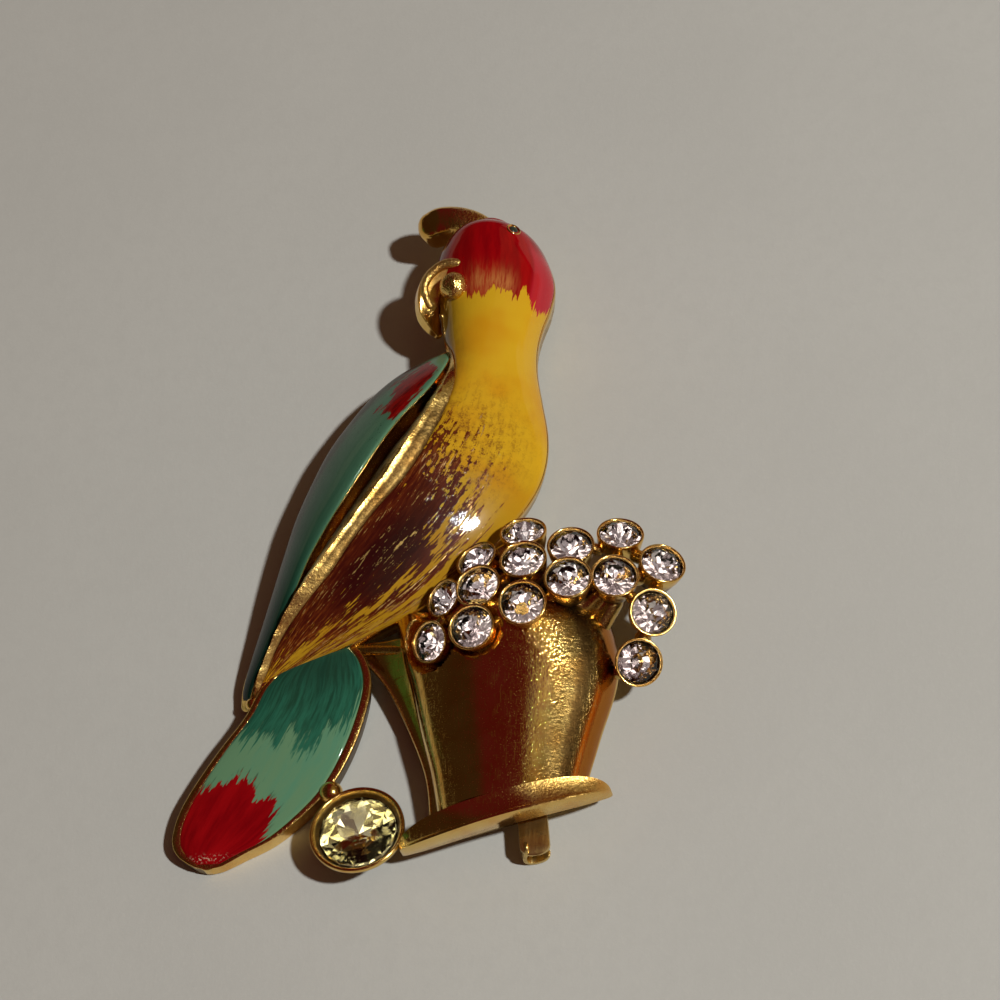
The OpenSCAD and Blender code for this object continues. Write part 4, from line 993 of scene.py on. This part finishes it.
class BROOCH_OT_bird(bpy.types.Operator):
    """Build the bird's head, neck and body: gilt casting, groove and brushed enamel"""

    bl_idname = "brooch.bird"
    bl_label = "Bird"

    def execute(self, context):
        ridge = size("ridge")

        def strip(s):
            sagging = 0.16 * np.sin(math.pi * s) ** 0.8
            return ridge * hump(s, 0.055, 0.05) - sagging + 0.06 * hump(s, 0.96, 0.05)

        u, t, rings, solid = form_with_pocket(
            BODY, BODY_POCKET, strip, bead(0.03), (0.05, 0.25), across=52, first=BODY_START)
        edge, shown = t.shape[1], ramp(u, 7, 2)[:, None]
        # Painted shade: on the right wall and underside, and in bands across the gilt ledge, darkest at its
        # wall
        shade_film, pitted, satin = np.zeros((3, *rings.shape[:2]))
        shade_film[:, edge:] = 0.45
        shade_film[:, edge + WALL_POINTS:] = np.where(u > 6.2, 0.8, 0.3)[:, None]
        along = np.interp(u, [8, 10, 13, 15, 18], [0.9, 1.15, 1.15, 0.6, 0.6])[:, None]
        across = np.interp(np.arange(RIM_POINTS), [0, 3, 4.4, 5, 5.6, 7, 9, 10],
                           [0.8, 0.6, 0.45, 0.0, 0.12, 0.62, 0.5, 0.7])
        shade_film[:, :RIM_POINTS] = along * shown * across
        pitted[:, :RIM_POINTS] = hump(u, 9.0, 2.6)[:, None] * 0.8 + 0.9 * shown
        satin[:, 5:RIM_POINTS] = 0.4 * shown
        gilt_piece("bird_metal", solid, finish(polished_gilt), {
            "hollow": ring_marks(shade_film, 0), "satin": ring_marks(satin, 0), "pitted": ring_marks(pitted, 0)})
        self.groove()
        self.enamel()
        return {"FINISHED"}

    def groove(self):
        """The channel between the wing and the body, dark with painted shade."""
        u = np.linspace(2, len(WING) - 2, 90)
        wing, body = resample(WING, u), resample(BODY, u + GROOVE_ROW)
        w, b = wing[:, RIGHT], body[:, LEFT]
        across = unit((b - w) * [1, 1, 0] + [0.5, -0.3, 0]) * GROOVE_TUCK
        z = np.maximum(np.minimum(w[:, 2], b[:, 2]) - GROOVE_DEEP, GROOVE_LOWEST)
        s = np.linspace(0, 1, 13)
        top = (w - across)[:, None] * (1 - s[:, None]) + (b + across)[:, None] * s[:, None]
        top[..., 2] = z[:, None] - 0.3 * np.sin(math.pi * s)
        under = top[:, ::-1].copy()
        under[..., 2] = (np.minimum(wing[:, UNDER_RIGHT], body[:, UNDER_LEFT]) + 0.1)[:, None]
        solid = loft(np.concatenate([top, under], 1))
        # The channel's floor carries painted shade, for it lies deep between the wing and the body
        gilt_piece("groove_floor", solid, finish(polished_gilt), {"hollow": 0.7})

    def enamel(self):
        """Head and body coats are cut from one grid, so that the seam between them doesn't show."""
        coat = Coat(BODY, *BODY_COAT, 10, 18.0, round_start=False)
        u, t = coat.u, coat.t
        coat.marks.update(
            red=(np.interp(t, *RED_EDGE.T) - u) * 2.6,
            thin=np.clip(1.3 * hump(t, 0.50, 0.09) + hump(t, 0.60, 0.06), 0, 1) * hump(u, 4.15, 0.55),
            # Where the painted reflection lies, lighter crimson along the head's right side
            crimson=ramp(t, 0.755, 0.015) * ramp(u, 1.6, 0.5),
            brown=(np.interp(u, *BROWN_EDGE.T) - t) * coat.width[:, -1:],
            tip=ramp(u, 14.4, 2.4),
            core=np.clip(1.3 * hump(u, 14.0, 1.3) * hump(t, 0.52, 0.16)
                         + 0.7 * hump(u, 12.3, 1.2) * hump(t, 0.5, 0.14), 0, 1),
            low=ramp(u, 10.2, 2.2) * ramp(t, 0.35, 0.2),
            sponge=np.clip(1.4 * hump(u, 10.2, 1.5) * hump(t, 0.45, 0.26), 0, 1),
            shade=np.clip(1.4 * hump(u, 5.2, 1.5) * hump(t, 0.08, 0.19)
                          + 0.5 * hump(u, 7.8, 1.6) * hump(t, 0.28, 0.10), 0, 1))
        seam = int(np.argmin(np.abs(u[:, 0] - SEAM_ROW)))
        coat.piece("head_enamel", finish(bird_enamel), "red_enamel", slice(0, seam + 1))
        coat.piece("body_enamel", finish(bird_enamel), "yellow_enamel", slice(seam, None))


class BROOCH_OT_head_parts(bpy.types.Operator):
    """Build the crest, the hooked beak with its ball, and the eye in its ring"""

    bl_idname = "brooch.head_parts"
    bl_label = "Crest, beak and eye"

    def execute(self, context):
        bright = finish(polished_gilt, "bright_gilt", rough=0.07, wear=0.45, deep=0.5)
        soft = finish(polished_gilt, "soft_gilt", rough=0.2, wear=0.8, deep=0.1)
        cast = finish(polished_gilt, "cast_gilt", rough=0.32, wear=1.6, deep=0.1)
        soft_top = rounded_sides([(90, 0.92), (0, 1.0), (180, 1.0), (270, 0.98), (45, 1.05), (135, 1.03)], 8)
        crest = bar(CREST, 56, soft_top)
        right = ramp(crest[0][:, 0], -2.6, 1.8)
        gilt_piece("crest", crest, bright, {"pitted": 2.4 * right, "satin": 0.5 * right})
        hooked = rounded_sides([(28, 0.86), (118, 0.62), (180, 0.98), (270, 0.9), (330, 1.0)], 16)
        hook = bar(BEAK, 84, hooked, thick=1.04)
        gilt_piece("beak_hook", hook, bright, {"satin": 0.9 * ramp(hook[0][:, 1], 26.4, 1.2)})
        gilt_piece("beak_arc", bar(BEAK_ARC, 24, thick=1.12), cast, {"pitted": 3.0})
        points, faces = ball(BEAK_BALL, BEAK_BALL_R, 48)
        dents = np.random.default_rng(5).normal(size=(DENTS, 3))
        out = unit(points - BEAK_BALL)
        dent = np.clip(np.sum([hump(1 - out @ unit(v), 0, 0.05) for v in dents], 0), 0, 1.4)[:, None]
        gilt_piece("beak_ball", (points - out * DENT_DEEP * dent, faces), soft, {"pitted": 3.2})
        self.eye(bright)
        return {"FINISHED"}

    def eye(self, bright):
        row = BODY[1] + (BODY[2] - BODY[1]) * EYE_ROW_SHARE
        beside = dome(row[None], np.array([EYE_T - 0.02, EYE_T, EYE_T + 0.02]))[0]
        above, below = dome(BODY[1:3], np.array([EYE_T]))[:, 0]
        way = unit(np.cross(below - above, beside[2] - beside[0]))
        at = beside[1] + way * EYE_LIFT
        ring = [[EYE_HOLE, -0.3], [EYE_R, -0.3], [EYE_R, 0.04], [EYE_R - 0.03, 0.11], [EYE_R - 0.09, 0.15],
                [EYE_R - 0.14, 0.14], [EYE_R - 0.19, 0.08], [EYE_HOLE, 0.0]]
        points, faces = lathe(ring, 40)
        gilt_piece("eye_ring", (placed(points, at, way), faces), bright)
        wide, high = EYE_HOLE - 0.01, 0.24
        turns = np.radians(np.linspace(4, 88, 9))
        profile = [(wide, -0.28), (wide, 0.0)] + [(wide * math.cos(a), high * math.sin(a)) for a in turns]
        points, faces = loft(spun(profile, 32))
        shape = Shape().add(placed(points, at, way), faces)
        as_piece(shape, "eye_bead", [finish(dark_bead)], "eye")


class BROOCH_OT_wing(bpy.types.Operator):
    """Build the wing, its enamel and the small ball at its tip"""

    bl_idname = "brooch.wing"
    bl_label = "Wing"

    def execute(self, context):
        gilt = finish(polished_gilt)
        t, rings, solid = form_with_pocket(
            WING, WING_COAT, bead(0.04), bead(0.05), (0.15, 0.45), per_row=10, across=28)[1:]
        edge = t.shape[1]
        # Painted shade on the wing's rims, its left wall and underside, deepening down its right wall
        shade_film = np.full(rings.shape[:2], 0.25)
        shade_film[:, RIM_POINTS + 1:edge - 9] = 0
        shade_film[:, edge:edge + WALL_POINTS] = [0.1, 0.35, 0.5, 0.7, 0.9]
        gilt_piece("wing_metal", solid, gilt, {"hollow": ring_marks(shade_film, 0.3)})
        gilt_piece("wing_ball", ball(WING_BALL, WING_BALL_R), gilt)
        coat = Coat(WING, *WING_COAT, 12, 5.0, across=40)
        u, t = coat.u, coat.t
        left, right = (np.interp(u, WING_RED[:, 0], WING_RED[:, k]) for k in (1, 2))
        edges = ((right - t) * 5.0, (t - left) * 5.0, (u - 1.05) * 2.6, (3.3 - u) * 2.0)
        coat.marks.update(
            red=np.minimum.reduce(edges),
            far=u / 12,
            shoulder=np.clip(np.maximum(1 - (u - 0.9) / 0.9, 1 - (0.97 - t) / 0.25 * (1 + u / 4)), 0, 1),
            outer=np.clip(1.1 - t / 0.5, 0, 1) * ramp(u, 0.7, 0.8),
            specks=np.clip(1.5 * hump(u, 3.9, 0.8) * hump(t, 0.74, 0.22), 0, 1))
        coat.piece("wing_enamel", finish(wing_enamel_finish), "teal_enamel")
        return {"FINISHED"}


class BROOCH_OT_tail(bpy.types.Operator):
    """Build the tail with its rounded gilt rim and its brushed enamel"""

    bl_idname = "brooch.tail"
    bl_label = "Tail"

    def execute(self, context):
        rim = size("rim")
        u, t, rings, solid = form_with_pocket(
            TAIL, TAIL_COAT, bead(rim * 0.8), bead(rim * 1.3), (0.2, 0.1), per_row=12)
        edge = t.shape[1]
        # Painted shade on the walls and underside, and on the right rim near the tail's root, where the body
        # shades it
        shade_film = np.zeros(rings.shape[:2])
        shade_film[:, edge + 1:] = 0.62
        shade_film[:, edge - 6:edge + WALL_POINTS] = np.interp(u, [4.6, 6.2], [0.75, 0.08])[:, None]
        pitted = np.full(rings.shape[:2], 0.5)
        gilt_piece("tail_metal", solid, finish(polished_gilt), {
            "hollow": ring_marks(shade_film, 0), "pitted": ring_marks(pitted, 0)})
        coat = Coat(TAIL, *TAIL_COAT, 12, 14.0)
        u, t = coat.u, coat.t
        coat.marks.update(
            red=(u - np.interp(t, *TAIL_RED_EDGE.T)) * 2.6,
            green=((3.1 - u) * 3.0 + 1.2 * hump(t, 0.6, 0.14) - 3.2 * hump(t, 1.0, 0.16)
                   - 0.9 * hump(t, 0.1, 0.12)),
            worn=hump(u, 8.35, 0.3) * hump(t, 0.45, 0.3))
        coat.piece("tail_enamel", finish(tail_enamel_finish), "seafoam_enamel")
        return {"FINISHED"}


class BROOCH_OT_pot(bpy.types.Operator):
    """Build the flowerpot: its polished half drum with painted reflection bands, the concave flare and the
    arched foot
    """

    bl_idname = "brooch.pot"
    bl_label = "Flowerpot"

    def execute(self, context):
        gilt = finish(polished_gilt, "mirror_gilt", rough=0.05, wear=1.0, deep=0.3)
        u, t = tenths(POT)[:, None], np.linspace(0, 1, 96)
        self.part(POT, "pot_body", gilt, t, 0.05 * hump(t, 0, 0.02) + 0.05 * hump(t, 1, 0.02), {
            "pitted": 0.14 + 0.5 * hump(t, 0.65, 0.08) + 2.6 * hump(u, 0.4, 2.4) * hump(t, 0.645, 0.06),
            # Painted dark reflection bands along the drum's right half
            "hollow": 0.38 * hump(t, 0.68, 0.05) + 0.75 * hump(t, 0.775, 0.055),
            # A painted orange reflection along the drum's right edge
            "orange_reflection": 0.9 * ramp(t, 0.845, 0.02) * ramp(t, 0.985, -0.01)})
        t = np.linspace(0, 1, 64)
        self.part(FLARE, "pot_flare", gilt, t, 0.32 * hump(t, 0.06, 0.06) + 0.10 * hump(t, 0.98, 0.05),
                  {"satin": 0.9 * hump(t, 0.06, 0.08) + 0.8 * hump(t, 0.86, 0.14)})
        self.foot(gilt)
        return {"FINISHED"}

    def part(self, table, name, gilt, t, lift, marks):
        """A wall of the pot, pushed clear of the stones in front of it."""
        rings = closed_sections(resample(table, tenths(table)), t, lift)
        for row in STONES[POT_FRONT_STONES]:
            way, away = unit(row[3:]), rings - row[:3]
            high = away @ way
            far = np.linalg.norm(away - high[..., None] * way, axis=-1)
            limit = -CLEAR_DEPTH + np.clip(far - CLEAR_NEAR, 0, 1.0) + np.clip(far - CLEAR_FAR, 0, None) * 3.0
            rings = rings - way * (np.clip(high - limit, 0, None) * (far < CLEAR_END))[..., None]
        gathered = {}
        for key, values in marks.items():
            on_rings = np.zeros(rings.shape[:2])
            on_rings[:, :len(t)] = values
            gathered[key] = ring_marks(on_rings)
        gilt_piece(name, loft(rings, 0.18, 0.12), gilt, gathered)

    def foot(self, gilt):
        """A thick plate cut to an arch: dished on top, with a rolled lip at its front."""
        reach = FOOT_HALF + FOOT_LIP
        stations = reach * np.sin(np.linspace(-math.pi / 2, math.pi / 2, 61)[1:-1])
        rise = np.sqrt(np.clip(1 - (stations / reach) ** 2, 0, 1))
        half = FOOT_LIP * np.clip(1 - np.abs(stations / reach) ** 4.0, 0, 1) ** 0.5
        top = FOOT_RISE * rise**0.85
        bottom = top - FOOT_THICK * rise**0.35
        s = np.linspace(-1, 1, 15)
        dish = -0.20 * (1 - s**2) + 0.12 * hump(s, -0.86, 0.16)
        rings = []
        for x, w, high, low in zip(stations, half, top, bottom):
            corner = min(0.28, w * 0.4)
            section = [(w * k, high + d * min(1, w)) for k, d in zip(s, dish)]
            section += [(w + corner * 0.1, high - corner), (w * 0.98, low + corner), (w * 0.8, low),
                        (-w * 0.8, low), (-w * 0.98, low + corner), (-w - corner * 0.15, high - corner),
                        (-w - corner * 0.05, high - corner * 0.35)]
            rings.append([(x, y, z) for y, z in section])
        web = []
        for x, k in zip(stations[8:-8], rise[8:-8] - 0.55):
            high, back, front, low = 1.6 + 2.0 * k, 0.85, -0.25, -0.6
            web.append([(x, back, low), (x, back, high), (x, front, high), (x, front, low)])
        turn = np.array(Matrix.Rotation(math.radians(FOOT_TURN), 3, "Z"))
        points, faces = loft(web)
        # The web behind the foot carries painted shade
        gilt_piece("pot_foot_web", (points @ turn.T + FOOT_MIDDLE, faces), gilt, {"hollow": 0.6})
        points, faces = loft(rings)
        right = ramp(points[:, 0], 0.5, 3.0)
        marks = {"satin": 0.8 * right, "pitted": 1.2 * right}
        gilt_piece("pot_foot", (points @ turn.T + FOOT_MIDDLE, faces), gilt, marks)


class BROOCH_OT_bouquet(bpy.types.Operator):
    """Build the bouquet: soldered stems and bridges, fifteen cups and their cut stones"""

    bl_idname = "brooch.bouquet"
    bl_label = "Bouquet"

    def execute(self, context):
        self.stems()
        outer, inner = size("cup") / 2, size("stone") / 2 + 0.04
        foot, floor, lip = outer - 0.6, -2.6, 0.22
        profile = [[foot * 0.55, floor], [foot - 0.1, floor], [foot, floor + 0.1], [outer - 0.16, lip - 1.25],
                   [outer, lip - 0.30], [outer, lip - 0.12], [outer - 0.03, lip - 0.03], [outer - 0.09, lip],
                   [outer - 0.17, lip - 0.02], [inner + 0.05, lip - 0.10], [inner + 0.02, lip - 0.34],
                   [inner, -0.45], [inner * 0.70, -1.0], [foot * 0.5, floor + 0.5]]
        # Painted shade for each point of the profile: dark underneath and down the inner wall below the stone
        shade_film = [0.9, 0.8, 0.7, 0.35, 0, 0, 0, 0, 0, 0.1, 0.7, 1, 1, 1]
        glass = finish(stone_glass, "clear_glass", tint=(0.98, 0.97, 1.0))
        foil = finish(stone_foil, "clear_foil", tint=paint("crystal"), second=(0.76, 0.68, 0.66))
        cups = Shape()
        for i, row in enumerate(STONES):
            at, way, scale = row[:3], row[3:], SMALLER_CUPS.get(i, USUAL_CUP)
            add_cup(cups, profile, shade_film, 56, i + 1, at, way, scale)
            points, faces, foiled = cut_stone(size("stone") / 2, *CLEAR_CUT)
            spin = np.array(Matrix.Rotation(STONE_SPIN * i, 3, "Z"))
            stone = Shape().add(placed(points @ spin.T * scale, at, way), faces, foiled)
            node = f"stone_{i + 1:02d}"
            as_piece(stone, "cut_" + node, [glass, foil], node, flat=True)
        gilt_piece("bouquet_cups", cups, finish(polished_gilt), sharp=CUP_SHARP)
        return {"FINISHED"}

    def stems(self):
        """Stems from the inner cups to the root and bridges between cups, soldered into one skin."""
        middles, ways = STONES[:, :3], unit(STONES[:, 3:])
        shape = Shape()
        for middle, way in zip(middles[:INNER_CUPS], ways):
            shape.add(*rod(middle - way * STEM_DROP, STEM_R, BOUQUET_ROOT, ROOT_R))
        bridges = [(int(i) - 1, int(j) - 1, r, BRIDGE_DEPTH) for i, j, r in BRIDGES]
        bridges += [(i, j, NEAR_BRIDGE_R, NEAR_BRIDGE_DEPTH) for i in range(NEAR_CUPS)
                    for j in range(i + 1, NEAR_CUPS) if np.linalg.norm(middles[i] - middles[j]) < NEAR]
        for i, j, r, depth in bridges:
            ends = []
            for one, other in ((i, j), (j, i)):
                toward = middles[other] - middles[one]
                toward = unit(toward - ways[one] * (toward @ ways[one]))
                ends.append(middles[one] + toward * BRIDGE_REACH - ways[one] * depth)
            shape.add(*rod(ends[0], r, ends[1], r))
        for row in STRUTS:
            shape.add(*rod(row[:3], row[6], row[3:6], row[6]))
        skin = melted(shape, "bouquet_stems", SKIN_VOXEL, SKIN_SMOOTH)
        # Painted shade over the whole skin of the stems
        hollow = skin.attributes.new("hollow", "FLOAT", "POINT")
        hollow.data.foreach_set("value", [STEM_SHADE] * len(skin.vertices))
        gilt_piece("bouquet_stems", skin, finish(polished_gilt), sharp=80)


class BROOCH_OT_tail_stone(bpy.types.Operator):
    """Build the large straw-coloured stone under the tail, its cup and the knob beside it"""

    bl_idname = "brooch.tail_stone"
    bl_label = "Tail stone"

    def execute(self, context):
        gilt = finish(polished_gilt)
        outer, r, lip = size("tail_cup") / 2, size("tail_stone") / 2, 0.4
        profile = [[2.0, -2.3], [2.7, -2.3], [2.8, -2.2], [outer - 0.15, -0.25], [outer, -0.05],
                   [outer, lip - 0.12], [outer - 0.05, lip - 0.03], [outer - 0.16, lip],
                   [outer - 0.28, lip - 0.04], [outer - 0.34, lip - 0.14], [r + 0.16, lip - 0.62],
                   [r + 0.06, -0.45], [r * 0.8, -1.1], [1.9, -1.9]]
        # Painted shade for each point of the profile: dark underneath and down the inner wall below the stone
        shade_film = [0.8, 0.7, 0.6, 0.5, 0.2, 0, 0, 0, 0, 0.3, 1, 1, 1, 1]
        cup = Shape()
        add_cup(cup, profile, shade_film, 96, 77, TAIL_STONE_AT, TAIL_STONE_WAY)
        gilt_piece("tail_cup", cup, gilt, sharp=CUP_SHARP)
        points, faces, foiled = cut_stone(r, *STRAW_CUT)
        glass = finish(stone_glass, "straw_glass", tint=(0.97, 0.96, 0.86))
        foil = finish(stone_foil, "straw_foil", tint=paint("straw"), second=(0.84, 0.78, 0.46))
        stone = Shape().add(placed(points, TAIL_STONE_AT, TAIL_STONE_WAY), faces, foiled)
        as_piece(stone, "straw_stone", [glass, foil], "tail_stone", flat=True)
        gilt_piece("tail_knob", ball(TAIL_KNOB_AT, TAIL_KNOB_R), gilt)
        return {"FINISHED"}


class BROOCH_OT_pin(bpy.types.Operator):
    """Build the pin back: plate, barrel of the hinge, straight wire and rolled catch"""

    bl_idname = "brooch.pin"
    bl_label = "Pin back"

    def execute(self, context):
        run = np.linalg.norm(PIN_CATCH_AT - PIN_HINGE_AT)
        along = unit(PIN_CATCH_AT - PIN_HINGE_AT)
        turn = np.column_stack([along, [-along[1], along[0], 0.0], [0.0, 0.0, 1.0]])
        flat = rounded_sides([(0, 1.38), (180, 1.38), (90, 0.3), (270, 0.3)], 12)
        strap = rounded_sides([(0, 0.2), (180, 0.2), (90, 0.68), (270, 0.68)], 8)
        wire = ((0, PIN_WIRE_R), (14, PIN_WIRE_R), (28, PIN_WIRE_R), (37, 0.42), (40.6, 0.16))
        catch = ((-0.95, 2.1), (-1.15, 1.5), (-1.15, 0.8), (-0.85, 0.32), (-0.25, 0.22), (0.3, 0.42))
        parts = [
            bar([[x, 0, PIN_PLATE_Z, 1] for x in (-0.6, run * 0.5, run - 0.9)], 64, flat),
            rod([0, -0.4, PIN_WIRE_Z], PIN_BARREL_R, [0, 0.4, PIN_WIRE_Z], PIN_BARREL_R, 32),
            bar([[x, 0, PIN_WIRE_Z, r] for x, r in wire], 24),
            bar([[run - 0.8, y, z, 1] for y, z in catch], 48, strap, (1, 0, 0)),
        ]
        shape = Shape()
        for points, faces in parts:
            shape.add(points @ turn.T + PIN_HINGE_AT, faces)
        as_piece(shape, "pin_and_catch", [finish(plated_wire)], "pin_back", sharp=50)
        return {"FINISHED"}


class BROOCH_OT_stage(bpy.types.Operator):
    """Build the paper floor, the lamp, the room's light and the camera"""

    bl_idname = "brooch.stage"
    bl_label = "Stage"

    def execute(self, context):
        self.floor()
        self.lamp()
        self.room()
        self.camera()
        return {"FINISHED"}

    def floor(self):
        x = np.linspace(-FLOOR_HALF, FLOOR_HALF, FLOOR_STEPS + 1)
        points = [(a, b, FLOOR_Z) for a in x for b in x]
        made = bpy.data.meshes.new("paper_floor")
        made.from_pydata(points, [], grid_faces(FLOOR_STEPS + 1, FLOOR_STEPS + 1))
        made.materials.append(finish(paper))
        floor = bpy.data.objects.new("paper_floor", made)
        bpy.context.scene.collection.objects.link(floor)

    def lamp(self):
        light = bpy.data.lights.new("lamp", "AREA")
        light.shape, light.size, light.energy, light.color = "DISK", LAMP_SIZE, LAMP_POWER, LAMP_COLOUR
        lamp = bpy.data.objects.new("lamp", light)
        toward = Vector(LAMP_WAY).normalized()
        lamp.location = toward * LAMP_AWAY
        lamp.rotation_mode = "QUATERNION"
        lamp.rotation_quaternion = (-toward).to_track_quat("-Z", "Y")
        bpy.context.scene.collection.objects.link(lamp)

    def room(self):
        """A dark warm room with one wide bright side, which the polished metal mirrors."""
        f = Finish(bpy.data.worlds.new("room"))
        way = f.node("ShaderNodeTexCoord").outputs["Generated"]
        x, y, z = f.node("ShaderNodeSeparateXYZ", {0: way}).outputs
        ceiling = f.layers((0.17, 0.13, 0.06), (f.step(x, 0.58, 0.68), (0.09, 0.066, 0.026)))
        zones = (
            # Colour, and the fades that bound it: axis, where its share is nought and where it is full
            ((0.034, 0.018, 0.009), (x, -0.34, -0.46)),
            (ceiling, (x, 0.17, 0.20), (z, 0.30, 0.40), (y, -0.6, -0.4)),
            ((0.42, 0.35, 0.26), (x, 0.17, 0.20), (z, 0.26, 0.22)),
            ((0.42, 0.15, 0.03), (x, 0.80, 0.88), (z, 0.30, 0.26), (z, 0.04, 0.08)),
            ((0.040, 0.085, 0.028), (x, -0.86, -0.93), (z, 0.42, 0.36), (y, 0.12, 0.06)),
            ((0.32, 0.28, 0.20), (x, -0.55, -0.65), (z, 0.16, 0.12)),
            ((0.34, 0.31, 0.27), (z, 0.02, -0.03)),
        )
        colour = (0.072, 0.008, 0.012)
        for over, first, *others in zones:
            share = f.step(*first)
            for fade in others:
                share = f.term((share, f.step(*fade)))
            colour = f.layers(colour, (share, over))
        grains = f.node("ShaderNodeTexVoronoi", {"Vector": way, "Scale": 9.0, "Randomness": 1.0})
        first, second = f.node("ShaderNodeSeparateColor", {0: grains.outputs["Color"]}).outputs[:2]
        sparkle = f.layers(
            (0.15, 0.11, 0.11), (f.step(second, 0.2, 0.9), (0.46, 0.42, 0.41)),
            (f.step(first, 0.76, 0.80), (3.8, 3.6, 3.4)), (f.step(z, 0.0, -0.05), (0.6, 0.56, 0.52)))
        inside = f.node("ShaderNodeLightPath").outputs["Is Transmission Ray"]
        colour = f.layers(colour, (inside, sparkle))
        light = f.node("ShaderNodeBackground", {"Color": colour, "Strength": 1.0})
        bpy.context.scene.world = f.end("ShaderNodeOutputWorld", light)

    def camera(self):
        turns = zip((CAMERA_AZIMUTH, 90 - CAMERA_ELEVATION, -CAMERA_ROLL), "ZXZ")
        azimuth, tilt, roll = (Matrix.Rotation(math.radians(angle), 4, axis) for angle, axis in turns)
        turned = azimuth @ tilt @ roll
        at = (CAMERA_AIM + MIDDLE) * MM + np.array(turned)[:3, 2] * CAMERA_DISTANCE * MM
        data = bpy.data.cameras.new("camera")
        data.lens, data.sensor_width = CAMERA_LENS, CAMERA_SENSOR
        data.clip_start, data.clip_end = 0.01, 10
        camera = bpy.data.objects.new("camera", data)
        camera.matrix_world = Matrix.Translation(at) @ turned
        bpy.context.scene.collection.objects.link(camera)
        bpy.context.scene.camera = camera
        bpy.context.scene.view_settings.view_transform = "Standard"


class BROOCH_PT_panel(bpy.types.Panel):
    """Lists the makers of the brooch's pieces and the sizes and colours that they use"""

    bl_label = "Bird Brooch"
    bl_idname = "BROOCH_PT_panel"
    bl_space_type = "VIEW_3D"
    bl_region_type = "UI"
    bl_category = "Brooch"

    def draw(self, context):
        for maker in MAKERS:
            self.layout.operator(maker.bl_idname)
        for group in (context.scene.brooch_sizes, context.scene.brooch_colours):
            box = self.layout.box()
            for key in group.__annotations__:
                box.prop(group, key)


MAKERS = (BROOCH_OT_bird, BROOCH_OT_head_parts, BROOCH_OT_wing, BROOCH_OT_tail, BROOCH_OT_pot,
          BROOCH_OT_bouquet, BROOCH_OT_tail_stone, BROOCH_OT_pin, BROOCH_OT_stage)
CLASSES = (BroochSizes, BroochColours, *MAKERS, BROOCH_PT_panel)


def register():
    for made in CLASSES:
        bpy.utils.register_class(made)
    bpy.types.Scene.brooch_sizes = bpy.props.PointerProperty(type=BroochSizes)
    bpy.types.Scene.brooch_colours = bpy.props.PointerProperty(type=BroochColours)


def unregister():
    del bpy.types.Scene.brooch_colours
    del bpy.types.Scene.brooch_sizes
    for made in reversed(CLASSES):
        bpy.utils.unregister_class(made)


def main():
    register()
    for maker in MAKERS:
        group, name = maker.bl_idname.split(".")
        getattr(getattr(bpy.ops, group), name)()


if __name__ == "__main__":
    main()
